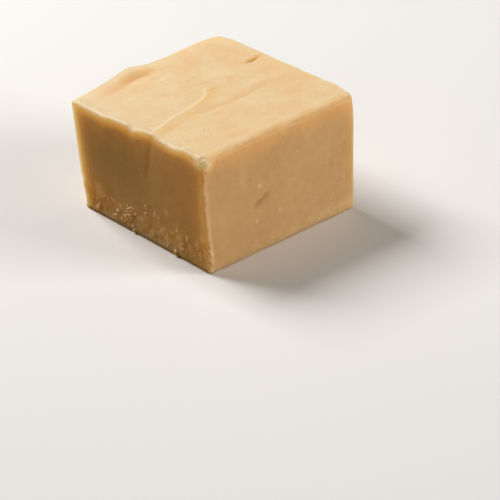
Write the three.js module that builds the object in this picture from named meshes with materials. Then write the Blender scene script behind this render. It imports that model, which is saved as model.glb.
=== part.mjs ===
// A cube of fudge, knife-cut from a poured slab. Millimetres, +Z up.
// The block stands on the side that lay on the pan. Its top was poured and smoothed with a spatula,
// so it keeps a fold, a crease, a gouge and a turned-up rim. Its four walls are cuts that are not quite
// square to each other. The near left wall tore along its foot as the knife came through.
// The origin is under the middle of the block's own box, at the height that it stands on.
// +X runs along the near wall to the right, and +Y runs away from it.

import * as THREE from "three";
import { mergeVertices } from "three/addons/utils/BufferGeometryUtils.js";

// ---- Driving dimensions ----

// The even block that the uneven one is drawn from: along X, along Y and up.
const size = new THREE.Vector3(32, 33, 20.8);

// The four uprights, each from its foot on the table to its head, where sharp edges would meet.
// soften is how much rounder than the other edges an upright is.
const uprights = {
  nearLeft: { foot: [-15.75, -16.1, 0], head: [-16, -16.2, 20.9], soften: 0.1 },
  nearRight: { foot: [14.9, -17.15, 0], head: [16.55, -16.95, 20.93], soften: 0.45 },
  farLeft: { foot: [-15.4, 16.55, 0], head: [-16.25, 16.65, 20.4], soften: 0 },
  farRight: { foot: [15.4, 16.8, 0], head: [16.6, 17.25, 20.85], soften: 1.1 },
};
const softenReach = 3; // how far from an upright its extra roundness is felt
const footRadius = 0.4; // the edges round the foot
const headRadius = 0.5; // the edges round the poured top
const leftSoften = 0.28; // how much rounder the left wall's edges are, away from the far left upright
const nearSoften = 0.95; // how much rounder the top's near edge is, where the spatula rolled it over
const nearSoftenFrom = [1, 5]; // where along X that begins and where it is whole
const cornerSoften = { by: 0.7, reach: 2 }; // how much rounder the near left top corner is

// The mesh: where its lines lie beside an edge, beside the fold and beside the gouge, and its
// widest cell between those.
const edgeLines = [0, 0.2, 0.8, 1.4, 2.3];
const foldLines = [-3.9, -2.9, -1.9, -1.2, -0.6, -0.2, 0.15, 0.5, 0.95, 1.6, 2.5];
const gougeLines = [4.1, 4.6, 5.05, 5.5];
const widestCell = 1.25;

// The poured top lifts and sinks by the marks below. The lift fades out down the walls.
// Places are given from the middle of the even block.
const topReach = 9;

// The fold: the far side was pushed over the near side, from the left edge to a curled tip.
const fold = {
  start: [-16.4, -3.45],
  end: [0.4, -0.2],
  curl: 2.2, // how far the tip turns aside, towards +Y
  hook: { by: 0.9, reach: 2 }, // how far the start turns aside, towards -Y
  crest: [0.22, 0.2], // rise of the far side at the start and at the tip
  crestReach: 0.9, // how far from the fold that rise fades
  ridge: { rise: 0.1, at: 0.1, halfWidth: 0.48 }, // the thin lip along the crest
  trough: [0.15, 0.1], // dip of the near side at the start and at the tip
  troughReach: 1.6,
  step: 1.9, // width of the step between them
  unevenness: 0.3, // share by which its height comes and goes along it
};
const foldRow = -2.1; // the mesh line that is bent to follow the fold

// The crease: a shallow furrow that runs on from the fold towards the right, with a low bank beyond it.
const crease = {
  start: [-6.2, -3.3],
  end: [11, -3.1],
  sag: -0.8,
  depth: 0.27,
  width: 0.85,
  bank: { rise: 0.08, beyond: 1.6 },
};

// The rim that stood up against the pan. It rises over its inset, which narrows to the right, up to a
// crest a little way in from the wall.
const rim = {
  middle: -5.4,
  halfLength: 6.2,
  rise: 0.9,
  inset: [2.5, 1.1],
  insetNarrows: [-9, -5],
  crest: 1.5,
  fall: 0.25, // share of its rise that it loses again from the crest to the wall
  bulge: 0.3,
  ragged: { by: 0.45, pitch: 1.6 },
};

// The groove in front of the rim, wider and deeper towards its end.
const rimHollow = {
  start: [-8.5, 13.2],
  end: [-1.8, 14.2],
  halfWidth: [0.7, 1],
  depth: [0.05, 0.18],
  stop: 0.9,
};

// The gouge that the spatula's corner left.
const gouge = { centre: [12.8, 4.6], halfLength: 1.6, halfWidth: 0.38, rise: -0.55 };

// Bumps and dips of the top along the left edge, and how far in from that edge they go. roll is how much
// that edge rolls over, less so at its near end.
const leftEdge = {
  reach: 1.7,
  roll: { depth: 0.08, reach: 1.3, nearShare: 0.4, grows: [-6, 8] },
  marks: [
    { at: 10, halfWidth: 2.2, rise: -0.3 },
    { at: 5.8, halfWidth: 1.1, rise: 0.1 },
    { at: 1.2, halfWidth: 1.1, rise: -0.48 },
    { at: -2, halfWidth: 1.5, rise: 0.3 },
    { at: -8.4, halfWidth: 1.9, rise: -0.52 },
    { at: -11.2, halfWidth: 0.9, rise: 0.2 },
    { at: -15.2, halfWidth: 1.6, rise: -0.45 },
  ],
};

// Shallow dips that the spatula skipped over, the stroke that it left along the near edge, what it
// pushed up beside the gouge, and the swelling on the rim.
const ovals = [
  gouge,
  { centre: [-1.4, 11.4], halfLength: 1.2, halfWidth: 0.9, rise: -0.14 },
  { centre: [-5, 6.4], halfLength: 1.6, halfWidth: 0.8, rise: -0.13 },
  { centre: [-9, -13.9], halfLength: 5, halfWidth: 0.7, rise: -0.13 },
  { centre: [13.5, 5.45], halfLength: 1.7, halfWidth: 0.35, rise: 0.27 },
  { centre: [13, 3.9], halfLength: 1.8, halfWidth: 0.7, rise: -0.14 },
  { centre: [-4, 16], halfLength: 2.2, halfWidth: 1.8, rise: 0.45 },
  { centre: [15.5, -9], halfLength: 2, halfWidth: 3.2, rise: -0.18 },
];

// The faint unevenness of the strokes, drawn out along X, and of the patches between them.
const strokes = { length: 11, width: 2.1, rise: 0.05, patch: [3.4, 2.3], patchRise: 0.035 };

// The crumb that clings to the near left top corner: the middle it swells from, and by how much.
const crumb = { middle: new THREE.Vector3(-14.9, -15.3, 19.6), reach: 1.7, rise: 0.4 };

// The seam that runs down the left wall from the fold.
const seam = { top: [-4, 20.5], bottom: [-1.8, 13], depth: 0.12, halfWidth: 0.6 };

// The torn band along the left wall's foot: pits of this size, up to this height.
const torn = { height: 6.5, footClear: 0.9, pitch: 1.5, depth: 0.17 };

// The small dent in the near wall, uneven along its outline.
const dent = {
  from: [-5.2, 8.7],
  to: [-3.7, 9.4],
  depth: 0.26,
  halfWidth: 0.75,
  uneven: { by: 0.4, pitch: 0.7 },
};

// The slow swell of a knife-cut wall, which sets in above its foot, and how far the wall is drawn in
// halfway between its uprights.
const swell = { pitch: 11, depth: 0.16, reach: 2.5, setsIn: 1.6, drawnIn: 0.06 };

const fudgeColour = "#dcae78";

// ---- Small helpers ----

// 0 below a, 1 above b, and smooth between them, whichever of the two is larger.
function ramp(a, b, x) {
  const t = Math.min(1, Math.max(0, (x - a) / (b - a)));
  return t * t * (3 - 2 * t);
}

// A bell that is 1 at 0 and nearly gone at 2.
function bell(x) {
  return Math.exp(-x * x);
}

// What an oval mark adds to the top at a point.
function ovalHeight(mark, x, y) {
  const across = (y - mark.centre[1]) / mark.halfWidth;
  return mark.rise * bell(Math.hypot((x - mark.centre[0]) / mark.halfLength, across));
}

// A repeatable value from -1 to 1 for a point of the noise lattice.
function latticeValue(i, j) {
  const s = Math.sin(i * 127.1 + j * 311.7) * 43758.5453;
  return 2 * (s - Math.floor(s)) - 1;
}

// Smooth noise from -1 to 1 over a plane, one lump for each unit.
function noise(a, b) {
  const i = Math.floor(a);
  const j = Math.floor(b);
  const s = ramp(0, 1, a - i);
  const t = ramp(0, 1, b - j);
  const low = THREE.MathUtils.lerp(latticeValue(i, j), latticeValue(i + 1, j), s);
  const high = THREE.MathUtils.lerp(latticeValue(i, j + 1), latticeValue(i + 1, j + 1), s);
  return THREE.MathUtils.lerp(low, high, t);
}

// Distance from a point to a straight stretch.
function distanceToStretch(from, to, x, y) {
  const dx = to[0] - from[0];
  const dy = to[1] - from[1];
  const t = THREE.MathUtils.clamp(((x - from[0]) * dx + (y - from[1]) * dy) / (dx * dx + dy * dy), 0, 1);
  return Math.hypot(x - from[0] - t * dx, y - from[1] - t * dy);
}

// ---- The poured top ----

// How far along the fold a place is: 0 at its start and 1 at its tip.
function foldShare(x) {
  return (x - fold.start[0]) / (fold.end[0] - fold.start[0]);
}

// The fold's line, which turns aside at both ends and runs straight on past its tip.
function foldLine(x) {
  const t = foldShare(x);
  const straight = THREE.MathUtils.lerp(fold.start[1], fold.end[1], Math.min(t, 1));
  const hooked = fold.hook.by * Math.exp(-Math.max(x - fold.start[0], 0) / fold.hook.reach);
  return straight - hooked + fold.curl * THREE.MathUtils.clamp(t, 0, 1) ** 14;
}

// Height that the fold adds: it rises on its far side and dips on its near side, with a lip between.
function foldHeight(x, y) {
  const t = foldShare(x);
  const away = y - foldLine(x);
  const along = THREE.MathUtils.clamp(t, 0, 1);
  const crest = THREE.MathUtils.lerp(...fold.crest, along) * Math.exp(-Math.max(away, 0) / fold.crestReach);
  const trough = THREE.MathUtils.lerp(...fold.trough, along) * bell((away + fold.step) / fold.troughReach);
  const lip = fold.ridge.rise * bell((away - fold.ridge.at) / fold.ridge.halfWidth);
  const share = ramp(1.1, 0.98, t) * (1 + fold.unevenness * noise(x / 2.3, 11));
  return share * (THREE.MathUtils.lerp(-trough, crest, ramp(-fold.step, 0, away)) + lip);
}

// How much of the crease is felt at a point: 1 in its middle.
function creaseFelt(x, y) {
  const t = (x - crease.start[0]) / (crease.end[0] - crease.start[0]);
  const line = THREE.MathUtils.lerp(crease.start[1], crease.end[1], t) + crease.sag * Math.sin(Math.PI * t);
  return bell((y - line) / crease.width) * ramp(0, 0.15, t) * ramp(1, 0.7, t);
}

// What the crease and its bank add to the top.
function creaseHeight(x, y) {
  return crease.bank.rise * creaseFelt(x, y - crease.bank.beyond) - crease.depth * creaseFelt(x, y);
}

// Height that the bumps and dips of the left edge add, less what its roll takes off.
function leftEdgeHeight(x, y) {
  const fromLeft = x + size.x / 2;
  const { marks, reach, roll } = leftEdge;
  const raised = marks.reduce((sum, m) => sum + m.rise * bell((y - m.at) / m.halfWidth), 0);
  const rolled = roll.depth * THREE.MathUtils.lerp(roll.nearShare, 1, ramp(...roll.grows, y));
  return raised * bell(fromLeft / reach) - rolled * bell(fromLeft / roll.reach);
}

// How far along the turned-up rim a point is: 1 in its middle, 0 past its ends.
function rimShare(x) {
  return bell((x - rim.middle) / rim.halfLength);
}

// Height of the turned-up rim.
function rimHeight(x, y) {
  const ragged = rim.ragged.by * noise(x / rim.ragged.pitch, y / rim.ragged.pitch + 6);
  const inset = THREE.MathUtils.lerp(...rim.inset, ramp(...rim.insetNarrows, x));
  const fromWall = y - size.y / 2;
  const up = ramp(-rim.crest - inset, -rim.crest, fromWall + ragged);
  return rim.rise * rimShare(x) * (up - rim.fall * ramp(-rim.crest, 0, fromWall));
}

// What a groove takes off the top. It widens and deepens to its end, where it stops short.
function grooveHeight(groove, x, y) {
  const dx = groove.end[0] - groove.start[0];
  const dy = groove.end[1] - groove.start[1];
  const length = Math.hypot(dx, dy);
  const t = ((x - groove.start[0]) * dx + (y - groove.start[1]) * dy) / length ** 2;
  const away = ((x - groove.start[0]) * dy - (y - groove.start[1]) * dx) / length;
  const along = THREE.MathUtils.clamp(t, 0, 1);
  const past = (Math.max(t - 1, 0) * length) / groove.stop;
  const depth = THREE.MathUtils.lerp(...groove.depth, along) * ramp(-0.25, 0.1, t) * bell(past);
  return -depth * bell(away / THREE.MathUtils.lerp(...groove.halfWidth, along));
}

// Height of the faint unevenness that the spatula left.
function strokeHeight(x, y) {
  const patches = noise(x / strokes.patch[0] + 5, y / strokes.patch[1] + 2);
  return strokes.rise * noise(x / strokes.length, y / strokes.width) + strokes.patchRise * patches;
}

// Everything that lifts or lowers the poured top at a point.
function topRelief(x, y) {
  return (
    foldHeight(x, y) +
    creaseHeight(x, y) +
    leftEdgeHeight(x, y) +
    rimHeight(x, y) +
    grooveHeight(rimHollow, x, y) +
    ovals.reduce((sum, mark) => sum + ovalHeight(mark, x, y), 0) +
    strokeHeight(x, y)
  );
}

// ---- The cut walls ----

// The slow swell of a wall, the same one for any wall but at its own place on the lattice.
function swellDepth(along, up, wall) {
  return swell.depth * noise(along / swell.pitch + 7 * wall, up / swell.pitch + 3 * wall);
}

// How far the left wall stands out, at a place along it and up it.
function leftRelief(y, z) {
  const band = ramp(torn.height, 0.5 * torn.height, z + 1.5 * noise(y / 3, 5)) * ramp(0, torn.footClear, z);
  const pits = Math.max(0, noise(y / torn.pitch, z / torn.pitch) + 0.4);
  const seamShare = bell(distanceToStretch(seam.top, seam.bottom, y, z) / seam.halfWidth);
  return swellDepth(y, z, 1) - torn.depth * band * pits - seam.depth * seamShare;
}

// How far the near wall stands out.
function nearRelief(x, z) {
  const { by, pitch } = dent.uneven;
  const halfWidth = dent.halfWidth * (1 + by * noise(x / pitch, z / pitch + 4));
  return swellDepth(x, z, 2) - dent.depth * bell(distanceToStretch(dent.from, dent.to, x, z) / halfWidth);
}

// ---- The block ----

// Where the mesh's lines lie along one side of the even block, given the fixed ones inside it.
function linePlaces(length, fixed = []) {
  const stops = [...edgeLines, ...fixed, ...edgeLines.map((e) => length - e).reverse()];
  return stops.flatMap((from, i) => {
    const gap = (stops[i + 1] ?? from) - from;
    const cells = Math.max(1, Math.ceil(gap / widestCell - 0.01));
    return Array.from({ length: cells }, (_, k) => from + (gap * k) / cells);
  });
}

// Bends the mesh lines that run along X so that one of them follows the fold.
function bendLines(q) {
  const edge = edgeLines.at(-1);
  const row = size.y / 2 + foldRow;
  const share = q.y < row ? (q.y - edge) / (row - edge) : (size.y - edge - q.y) / (size.y - edge - row);
  const x = q.x - size.x / 2;
  const past = ramp(8, 0, x - fold.end[0]);
  q.y += Math.max(0, share) * past * (foldLine(x) - foldRow);
}

// The radius of the block's edges near a point of the even block.
function edgeRadius(q) {
  const up = q.z / size.z;
  let extra = 0;
  for (const [name, upright] of Object.entries(uprights)) {
    const x = name.endsWith("Right") ? size.x : 0;
    const y = name.startsWith("far") ? size.y : 0;
    extra += upright.soften * bell(Math.hypot(q.x - x, q.y - y) / softenReach);
  }
  const down = size.z - q.z;
  extra += leftSoften * bell(q.x / softenReach) * ramp(0, 4, Math.hypot(q.x, q.y - size.y));
  extra += nearSoften * bell(Math.hypot(q.y, down) / softenReach) * ramp(...nearSoftenFrom, q.x);
  extra += cornerSoften.by * bell(Math.hypot(q.x, q.y, down) / cornerSoften.reach);
  return THREE.MathUtils.lerp(footRadius, headRadius, up) + extra * (0.3 + 0.7 * up);
}

// Rounds a point on the even block's faces off towards the edges.
function roundOff(q) {
  const r = edgeRadius(q);
  const core = q.clone().clamp(new THREE.Vector3(r, r, r), size.clone().subScalar(r));
  return core.clone().add(q.clone().sub(core).setLength(r));
}

// Carries a point of the even block to the uneven one, whose uprights lean and differ in height.
function lean(p) {
  const [nl, nr, fl, fr] = ["nearLeft", "nearRight", "farLeft", "farRight"].map((name) => {
    const { foot, head } = uprights[name];
    return new THREE.Vector3(...foot).lerp(new THREE.Vector3(...head), p.z / size.z);
  });
  const near = nl.lerp(nr, p.x / size.x);
  const far = fl.lerp(fr, p.x / size.x);
  return near.lerp(far, p.y / size.y);
}

// Adds the top's marks and the walls' relief to a point, given where it was on the even block.
function addRelief(point, even) {
  const x = even.x - size.x / 2;
  const y = even.y - size.y / 2;
  const z = even.z;
  const begun = ramp(0, swell.setsIn, z);
  const onWall = (depth) => ramp(swell.reach, 0, depth);
  const drawnIn = (share) => 4 * swell.drawnIn * share * (1 - share);
  const [inX, inY] = [drawnIn(even.y / size.y), drawnIn(even.x / size.x)];
  const topShare = ramp(size.z - topReach, size.z, z);
  point.x -= (leftRelief(y, z) * begun - inX) * onWall(even.x);
  point.x += (swellDepth(y, z, 3) * begun - inX) * onWall(size.x - even.x);
  point.y -= (nearRelief(x, z) * begun - inY) * onWall(even.y);
  point.y += (swellDepth(x, z, 4) * begun - inY) * onWall(size.y - even.y);
  point.y += rim.bulge * rimShare(x) * topShare * onWall(size.y - even.y);
  point.z += topRelief(x, y) * topShare;
  const out = point.clone().sub(crumb.middle);
  return point.addScaledVector(out.clone().normalize(), crumb.rise * bell(out.length() / crumb.reach));
}

// One closed block: a box of graded cells whose every corner is rounded, leant and given its relief.
function fudgeGeometry() {
  const rows = [...foldLines.map((d) => foldRow + d), ...gougeLines].map((y) => size.y / 2 + y);
  const places = [linePlaces(size.x), linePlaces(size.y, rows), linePlaces(size.z)];
  const cells = places.map((lines) => lines.length - 1);
  const box = new THREE.BoxGeometry(1, 1, 1, ...cells);
  box.deleteAttribute("normal");
  box.deleteAttribute("uv");
  const geometry = mergeVertices(box);
  const position = geometry.getAttribute("position");
  for (let i = 0; i < position.count; i++) {
    const [x, y, z] = [position.getX(i), position.getY(i), position.getZ(i)].map(
      (share, axis) => places[axis][Math.round((share + 0.5) * cells[axis])],
    );
    const cell = new THREE.Vector3(x, y, z);
    bendLines(cell);
    const even = roundOff(cell);
    const { x: px, y: py, z: pz } = addRelief(lean(even), even);
    position.setXYZ(i, px, py, pz);
  }
  geometry.computeBoundingBox();
  const middle = geometry.boundingBox.getCenter(new THREE.Vector3());
  geometry.translate(-middle.x, -middle.y, 0);
  geometry.computeVertexNormals();
  return geometry;
}

const fudge = new THREE.Mesh(
  fudgeGeometry(),
  new THREE.MeshStandardMaterial({ color: fudgeColour, roughness: 0.6, metalness: 0 }),
);
fudge.name = "fudge";

const cube = new THREE.Group();
cube.add(fudge);
export default cube;
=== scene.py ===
"""A cube of caramel fudge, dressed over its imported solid, on a pale studio floor.

The block is drawn as a rounded box whose uprights lean, with the marks of its making on top: the fold,
the crease and the gouge of the spatula, and the rim that stood up against the pan. Its walls are knife
cuts, and the near left one tore along its foot. Shape sizes are in millimetres, as a cook would measure
them, and become metres when the mesh is made.
"""

import logging
import math
from collections.abc import Callable, Sequence
from dataclasses import dataclass, field
from enum import Enum

import bpy
import numpy as np
from mathutils import Matrix, Vector


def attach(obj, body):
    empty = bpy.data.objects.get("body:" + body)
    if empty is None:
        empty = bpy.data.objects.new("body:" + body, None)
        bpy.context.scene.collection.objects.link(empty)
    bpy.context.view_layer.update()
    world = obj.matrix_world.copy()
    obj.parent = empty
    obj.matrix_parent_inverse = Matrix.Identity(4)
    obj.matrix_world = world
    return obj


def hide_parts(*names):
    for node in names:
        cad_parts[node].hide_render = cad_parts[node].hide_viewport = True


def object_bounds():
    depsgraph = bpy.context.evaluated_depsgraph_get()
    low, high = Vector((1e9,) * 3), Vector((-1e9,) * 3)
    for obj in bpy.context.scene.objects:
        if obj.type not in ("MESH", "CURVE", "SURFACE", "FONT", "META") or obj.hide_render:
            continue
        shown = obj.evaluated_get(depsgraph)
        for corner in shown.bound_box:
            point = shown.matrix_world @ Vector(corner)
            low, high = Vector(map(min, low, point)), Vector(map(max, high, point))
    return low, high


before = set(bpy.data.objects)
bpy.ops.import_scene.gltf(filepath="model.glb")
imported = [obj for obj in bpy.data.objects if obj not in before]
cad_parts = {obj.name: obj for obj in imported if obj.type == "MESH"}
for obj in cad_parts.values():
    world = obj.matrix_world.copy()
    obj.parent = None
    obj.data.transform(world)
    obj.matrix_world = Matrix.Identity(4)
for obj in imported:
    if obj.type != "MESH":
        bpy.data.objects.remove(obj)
CAD_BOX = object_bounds()

LOG = logging.getLogger("fudge_cube")
MM = 0.001
LATTICE_STEPS = (127.1, 311.7)
LATTICE_SCATTER = 43758.5453
KNOB_SIZE = 1.1
KNOB_WARP_PITCH = 1.6
KNOB_WARP = 0.5

Array = np.ndarray
Number = Array | float
Colour = tuple[float, float, float]
Pair = tuple[float, float]
Triple = tuple[float, float, float]
NodeTree = bpy.types.NodeTree
Socket = bpy.types.NodeSocket
Outputs = bpy.types.bpy_prop_collection
Value = float | Sequence[float] | Socket


# ---- Small helpers ----


def ramp(low: Number, high: Number, x: Number) -> Number:
    """Rises smoothly from 0 at one value to 1 at another, whichever of the two is larger.

    Args:
        low: Where it is 0.
        high: Where it is 1.
        x: The values to read it at.

    Returns:
        The ramp at each value.
    """
    t = np.clip((x - low) / (high - low), 0.0, 1.0)
    return t * t * (3.0 - 2.0 * t)


def bell(x: Number) -> Number:
    """Returns a bell that is 1 at 0 and nearly gone at 2."""
    return np.exp(-np.square(x))


def lerp(first: Number, second: Number, share: Number) -> Number:
    """Returns the value that lies a share of the way from the first to the second."""
    return first + (second - first) * share


def lattice(i: Array, j: Array) -> Array:
    """Returns a repeatable value from -1 to 1 for each point of the noise lattice."""
    s = np.sin(i * LATTICE_STEPS[0] + j * LATTICE_STEPS[1]) * LATTICE_SCATTER
    return 2.0 * (s - np.floor(s)) - 1.0


def noise(a: Number, b: Number) -> Array:
    """Reads smooth noise over a plane, with one lump for each unit.

    Args:
        a: The first coordinates.
        b: The second coordinates.

    Returns:
        Noise from -1 to 1.
    """
    i, j = np.floor(a), np.floor(b)
    s, t = ramp(0.0, 1.0, a - i), ramp(0.0, 1.0, b - j)
    low = lerp(lattice(i, j), lattice(i + 1, j), s)
    high = lerp(lattice(i, j + 1), lattice(i + 1, j + 1), s)
    return lerp(low, high, t)


def distance_to_stretch(start: Pair, end: Pair, x: Array, y: Array) -> Array:
    """Measures how far points lie from a straight stretch.

    Args:
        start: One end of the stretch.
        end: Its other end.
        x: The points' first coordinates.
        y: Their second coordinates.

    Returns:
        The distances.
    """
    dx, dy = end[0] - start[0], end[1] - start[1]
    t = np.clip(((x - start[0]) * dx + (y - start[1]) * dy) / (dx * dx + dy * dy), 0.0, 1.0)
    return np.hypot(x - start[0] - t * dx, y - start[1] - t * dy)


def add_object(name: str, data: bpy.types.ID) -> bpy.types.Object:
    """Adds an object to the scene.

    Args:
        name: The object's name.
        data: Its mesh, lamp or camera.

    Returns:
        The object.
    """
    new = bpy.data.objects.new(name, data)
    bpy.context.scene.collection.objects.link(new)
    return new


# ---- Node trees ----


class GroupKind(Enum):
    """The kinds of node group."""

    SHADER = "ShaderNodeTree"
    GEOMETRY = "GeometryNodeTree"


class SocketKind(Enum):
    """The kinds of socket that a node group has."""

    NUMBER = "NodeSocketFloat"
    WHOLE = "NodeSocketInt"
    VECTOR = "NodeSocketVector"
    GEOMETRY = "NodeSocketGeometry"
    MATERIAL = "NodeSocketMaterial"


KIND_OF_DEFAULT = {float: SocketKind.NUMBER, int: SocketKind.WHOLE, tuple: SocketKind.VECTOR}


class Wiring:
    """A node tree while it is being wired, for shaders and for geometry alike."""

    def __init__(self, tree: NodeTree) -> None:
        """Starts on a tree.

        Args:
            tree: The tree that nodes are added to.
        """
        self.tree = tree

    def put(self, socket: Socket, value: Value) -> None:
        """Links a socket to an output, or sets its own value.

        Args:
            socket: The input socket.
            value: An output socket, or a plain value.
        """
        if isinstance(value, Socket):
            self.tree.links.new(value, socket)
        elif socket.type == "RGBA" and len(value) == 3:
            socket.default_value = (*value, 1.0)
        else:
            socket.default_value = value

    def node(
        self, kind: str, inputs: dict[str | int, Value] | None = None, **settings: object
    ) -> bpy.types.Node:
        """Adds a node.

        Args:
            kind: The node's type name.
            inputs: Values or links for its inputs, by name or place.
            **settings: Properties of the node itself.

        Returns:
            The new node.
        """
        new = self.tree.nodes.new(kind)
        for name, setting in settings.items():
            setattr(new, name, setting)
        for key, value in (inputs or {}).items():
            self.put(new.inputs[key], value)
        return new

    def math(self, operation: str, a: Value, b: Value = 0.0, clamp: bool = False) -> Socket:
        """Adds a sum of two numbers and returns its output."""
        return self.node("ShaderNodeMath", {0: a, 1: b}, operation=operation, use_clamp=clamp).outputs[0]

    def product(self, first: Value, *others: Value) -> Socket:
        """Multiplies numbers together.

        Args:
            first: The first number.
            *others: The ones that it is multiplied by.

        Returns:
            The product.
        """
        for other in others:
            first = self.math("MULTIPLY", first, other)
        return first

    def added(self, first: Value, *others: Value) -> Socket:
        """Adds numbers together.

        Args:
            first: The first number.
            *others: The ones that are added to it.

        Returns:
            The sum.
        """
        for other in others:
            first = self.math("ADD", first, other)
        return first

    def total(self, first: tuple[Value, float], *others: tuple[Value, float]) -> Socket:
        """Adds numbers together, each times its own factor.

        Args:
            first: The first number and its factor.
            *others: The others with theirs.

        Returns:
            The sum.
        """
        result = self.math("MULTIPLY", *first)
        for value, factor in others:
            inputs = {0: value, 1: factor, 2: result}
            result = self.node("ShaderNodeMath", inputs, operation="MULTIPLY_ADD").outputs[0]
        return result

    def rest(self, share: Value) -> Socket:
        """Returns what a share leaves of 1."""
        return self.math("SUBTRACT", 1.0, share, clamp=True)

    def ramp(self, value: Value, low: Value, high: Value, to: Pair = (0.0, 1.0)) -> Socket:
        """Maps a number smoothly from one range to another.

        Args:
            value: The number.
            low: The value that gives the first of to.
            high: The value that gives the second of to.
            to: What it is mapped to.

        Returns:
            The mapped number.
        """
        inputs = {"Value": value, "From Min": low, "From Max": high, "To Min": to[0], "To Max": to[1]}
        return self.node("ShaderNodeMapRange", inputs, interpolation_type="SMOOTHSTEP").outputs["Result"]

    def blend(self, share: Value, first: Value, second: Value) -> Socket:
        """Mixes two colours.

        Args:
            share: How much of the second colour there is.
            first: The first colour.
            second: The second colour.

        Returns:
            The mixed colour.
        """
        mix = self.node("ShaderNodeMix", data_type="RGBA", blend_type="MIX", clamp_result=True)
        self.put(mix.inputs["Factor"], share)
        self.put(next(s for s in mix.inputs if s.identifier == "A_Color"), first)
        self.put(next(s for s in mix.inputs if s.identifier == "B_Color"), second)
        return next(s for s in mix.outputs if s.identifier == "Result_Color")

    def scaled(self, vector: Value, factor: Value) -> Socket:
        """Makes a vector longer or shorter by a factor and returns it."""
        return self.node("ShaderNodeVectorMath", {0: vector, "Scale": factor}, operation="SCALE").outputs[0]

    def stretched(self, vector: Value, factors: Value) -> Socket:
        """Stretches a vector by a factor along each axis and returns it."""
        return self.node("ShaderNodeVectorMath", {0: vector, 1: factors}, operation="MULTIPLY").outputs[0]

    def warped(self, vector: Value, pitch: float, shift: float) -> Socket:
        """Shifts places aside by noise.

        Args:
            vector: The places.
            pitch: The noise's lumps for each unit of length.
            shift: How far it shifts places at most.

        Returns:
            The shifted places.
        """
        aside = self.node("ShaderNodeTexNoise", {"Vector": vector, "Scale": pitch}).outputs[1]
        inputs = {0: vector, 1: self.scaled(aside, shift)}
        return self.node("ShaderNodeVectorMath", inputs, operation="ADD").outputs[0]

    def noise(self, vector: Value, scale: Value, detail: float = 2.0, roughness: float = 0.5) -> Socket:
        """Adds fractal noise and returns its number from 0 to 1.

        Args:
            vector: The place to read it at.
            scale: Lumps for each unit of length.
            detail: Octaves of finer lumps.
            roughness: How strong the finer ones are.

        Returns:
            The noise.
        """
        inputs = {"Vector": vector, "Scale": scale, "Detail": detail, "Roughness": roughness}
        return self.node("ShaderNodeTexNoise", inputs, noise_dimensions="3D").outputs[0]

    def pitch(self, size: Value) -> Value:
        """Returns how many lumps of a size there are for each unit of length."""
        return 1.0 / size if isinstance(size, float) else self.math("DIVIDE", 1.0, size)

    def cells(self, vector: Value, size: Value, feature: str) -> Outputs:
        """Adds a pattern of cells.

        Args:
            vector: The place to read it at.
            size: How wide one cell is.
            feature: What is measured in each cell.

        Returns:
            The pattern's outputs.
        """
        inputs = {"Vector": vector, "Scale": self.pitch(size)}
        return self.node("ShaderNodeTexVoronoi", inputs, feature=feature).outputs

    def mask(self, name: str) -> Socket:
        """Reads one of the block's own masks.

        Args:
            name: The attribute's name.

        Returns:
            Its value.
        """
        if self.tree.bl_idname == GroupKind.GEOMETRY.value:
            return self.node("GeometryNodeInputNamedAttribute", {"Name": name}, data_type="FLOAT").outputs[0]
        return self.node("ShaderNodeAttribute", attribute_name=name).outputs["Fac"]

    def place(self) -> Socket:
        """Returns places on the shaded object, in millimetres."""
        return self.stretched(self.node("ShaderNodeTexCoord").outputs["Object"], (1.0 / MM,) * 3)

    def put_out(self, label: str, value: Value) -> NodeTree:
        """Puts a value out of the group and returns the finished group."""
        self.node("NodeGroupOutput", {label: value})
        return self.tree

    def put_out_dressed(self, geometry: Socket, material: Socket) -> NodeTree:
        """Makes a geometry group's instances real, dresses it all and puts it out.

        Args:
            geometry: What the group made.
            material: The material that it gets.

        Returns:
            The finished group.
        """
        real = self.node("GeometryNodeRealizeInstances", {"Geometry": geometry}).outputs[0]
        dressed = self.node("GeometryNodeSetMaterial", {"Geometry": real, "Material": material})
        return self.put_out("Geometry", dressed.outputs[0])


def new_group(
    name: str, kind: GroupKind, inputs: dict[str, SocketKind | float | Triple], output: str
) -> Wiring:
    """Makes an empty node group with named sockets.

    Args:
        name: The group's name.
        kind: Whether it is for shaders or for geometry.
        inputs: Each input's default value by name, or its kind where it has none.
        output: The name of its one output.

    Returns:
        The wiring of the new group.
    """
    tree = bpy.data.node_groups.new(name, kind.value)
    for label, default in inputs.items():
        bare = isinstance(default, SocketKind)
        socket_type = (default if bare else KIND_OF_DEFAULT[type(default)]).value
        socket = tree.interface.new_socket(label, in_out="INPUT", socket_type=socket_type)
        if not bare:
            socket.default_value = default
    made = SocketKind.NUMBER if kind is GroupKind.SHADER else SocketKind.GEOMETRY
    tree.interface.new_socket(output, in_out="OUTPUT", socket_type=made.value)
    return Wiring(tree)


def apply_tree(target: bpy.types.Object, tree: NodeTree, values: dict[str, object]) -> bpy.types.Mesh:
    """Runs a Geometry Nodes tree on an object and takes the result as a plain mesh.

    Args:
        target: The object that the tree reads.
        tree: The tree.
        values: The tree's inputs by name.

    Returns:
        The mesh that the tree made. The object keeps its own mesh and no modifier.
    """
    modifier = target.modifiers.new(tree.name, "NODES")
    modifier.node_group = tree
    sockets = {item.name: item.identifier for item in tree.interface.items_tree if item.in_out == "INPUT"}
    for label, value in values.items():
        modifier[sockets[label]] = value
    bpy.context.view_layer.update()
    evaluated = target.evaluated_get(bpy.context.evaluated_depsgraph_get())
    mesh = bpy.data.meshes.new_from_object(evaluated)
    target.modifiers.remove(modifier)
    return mesh


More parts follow.
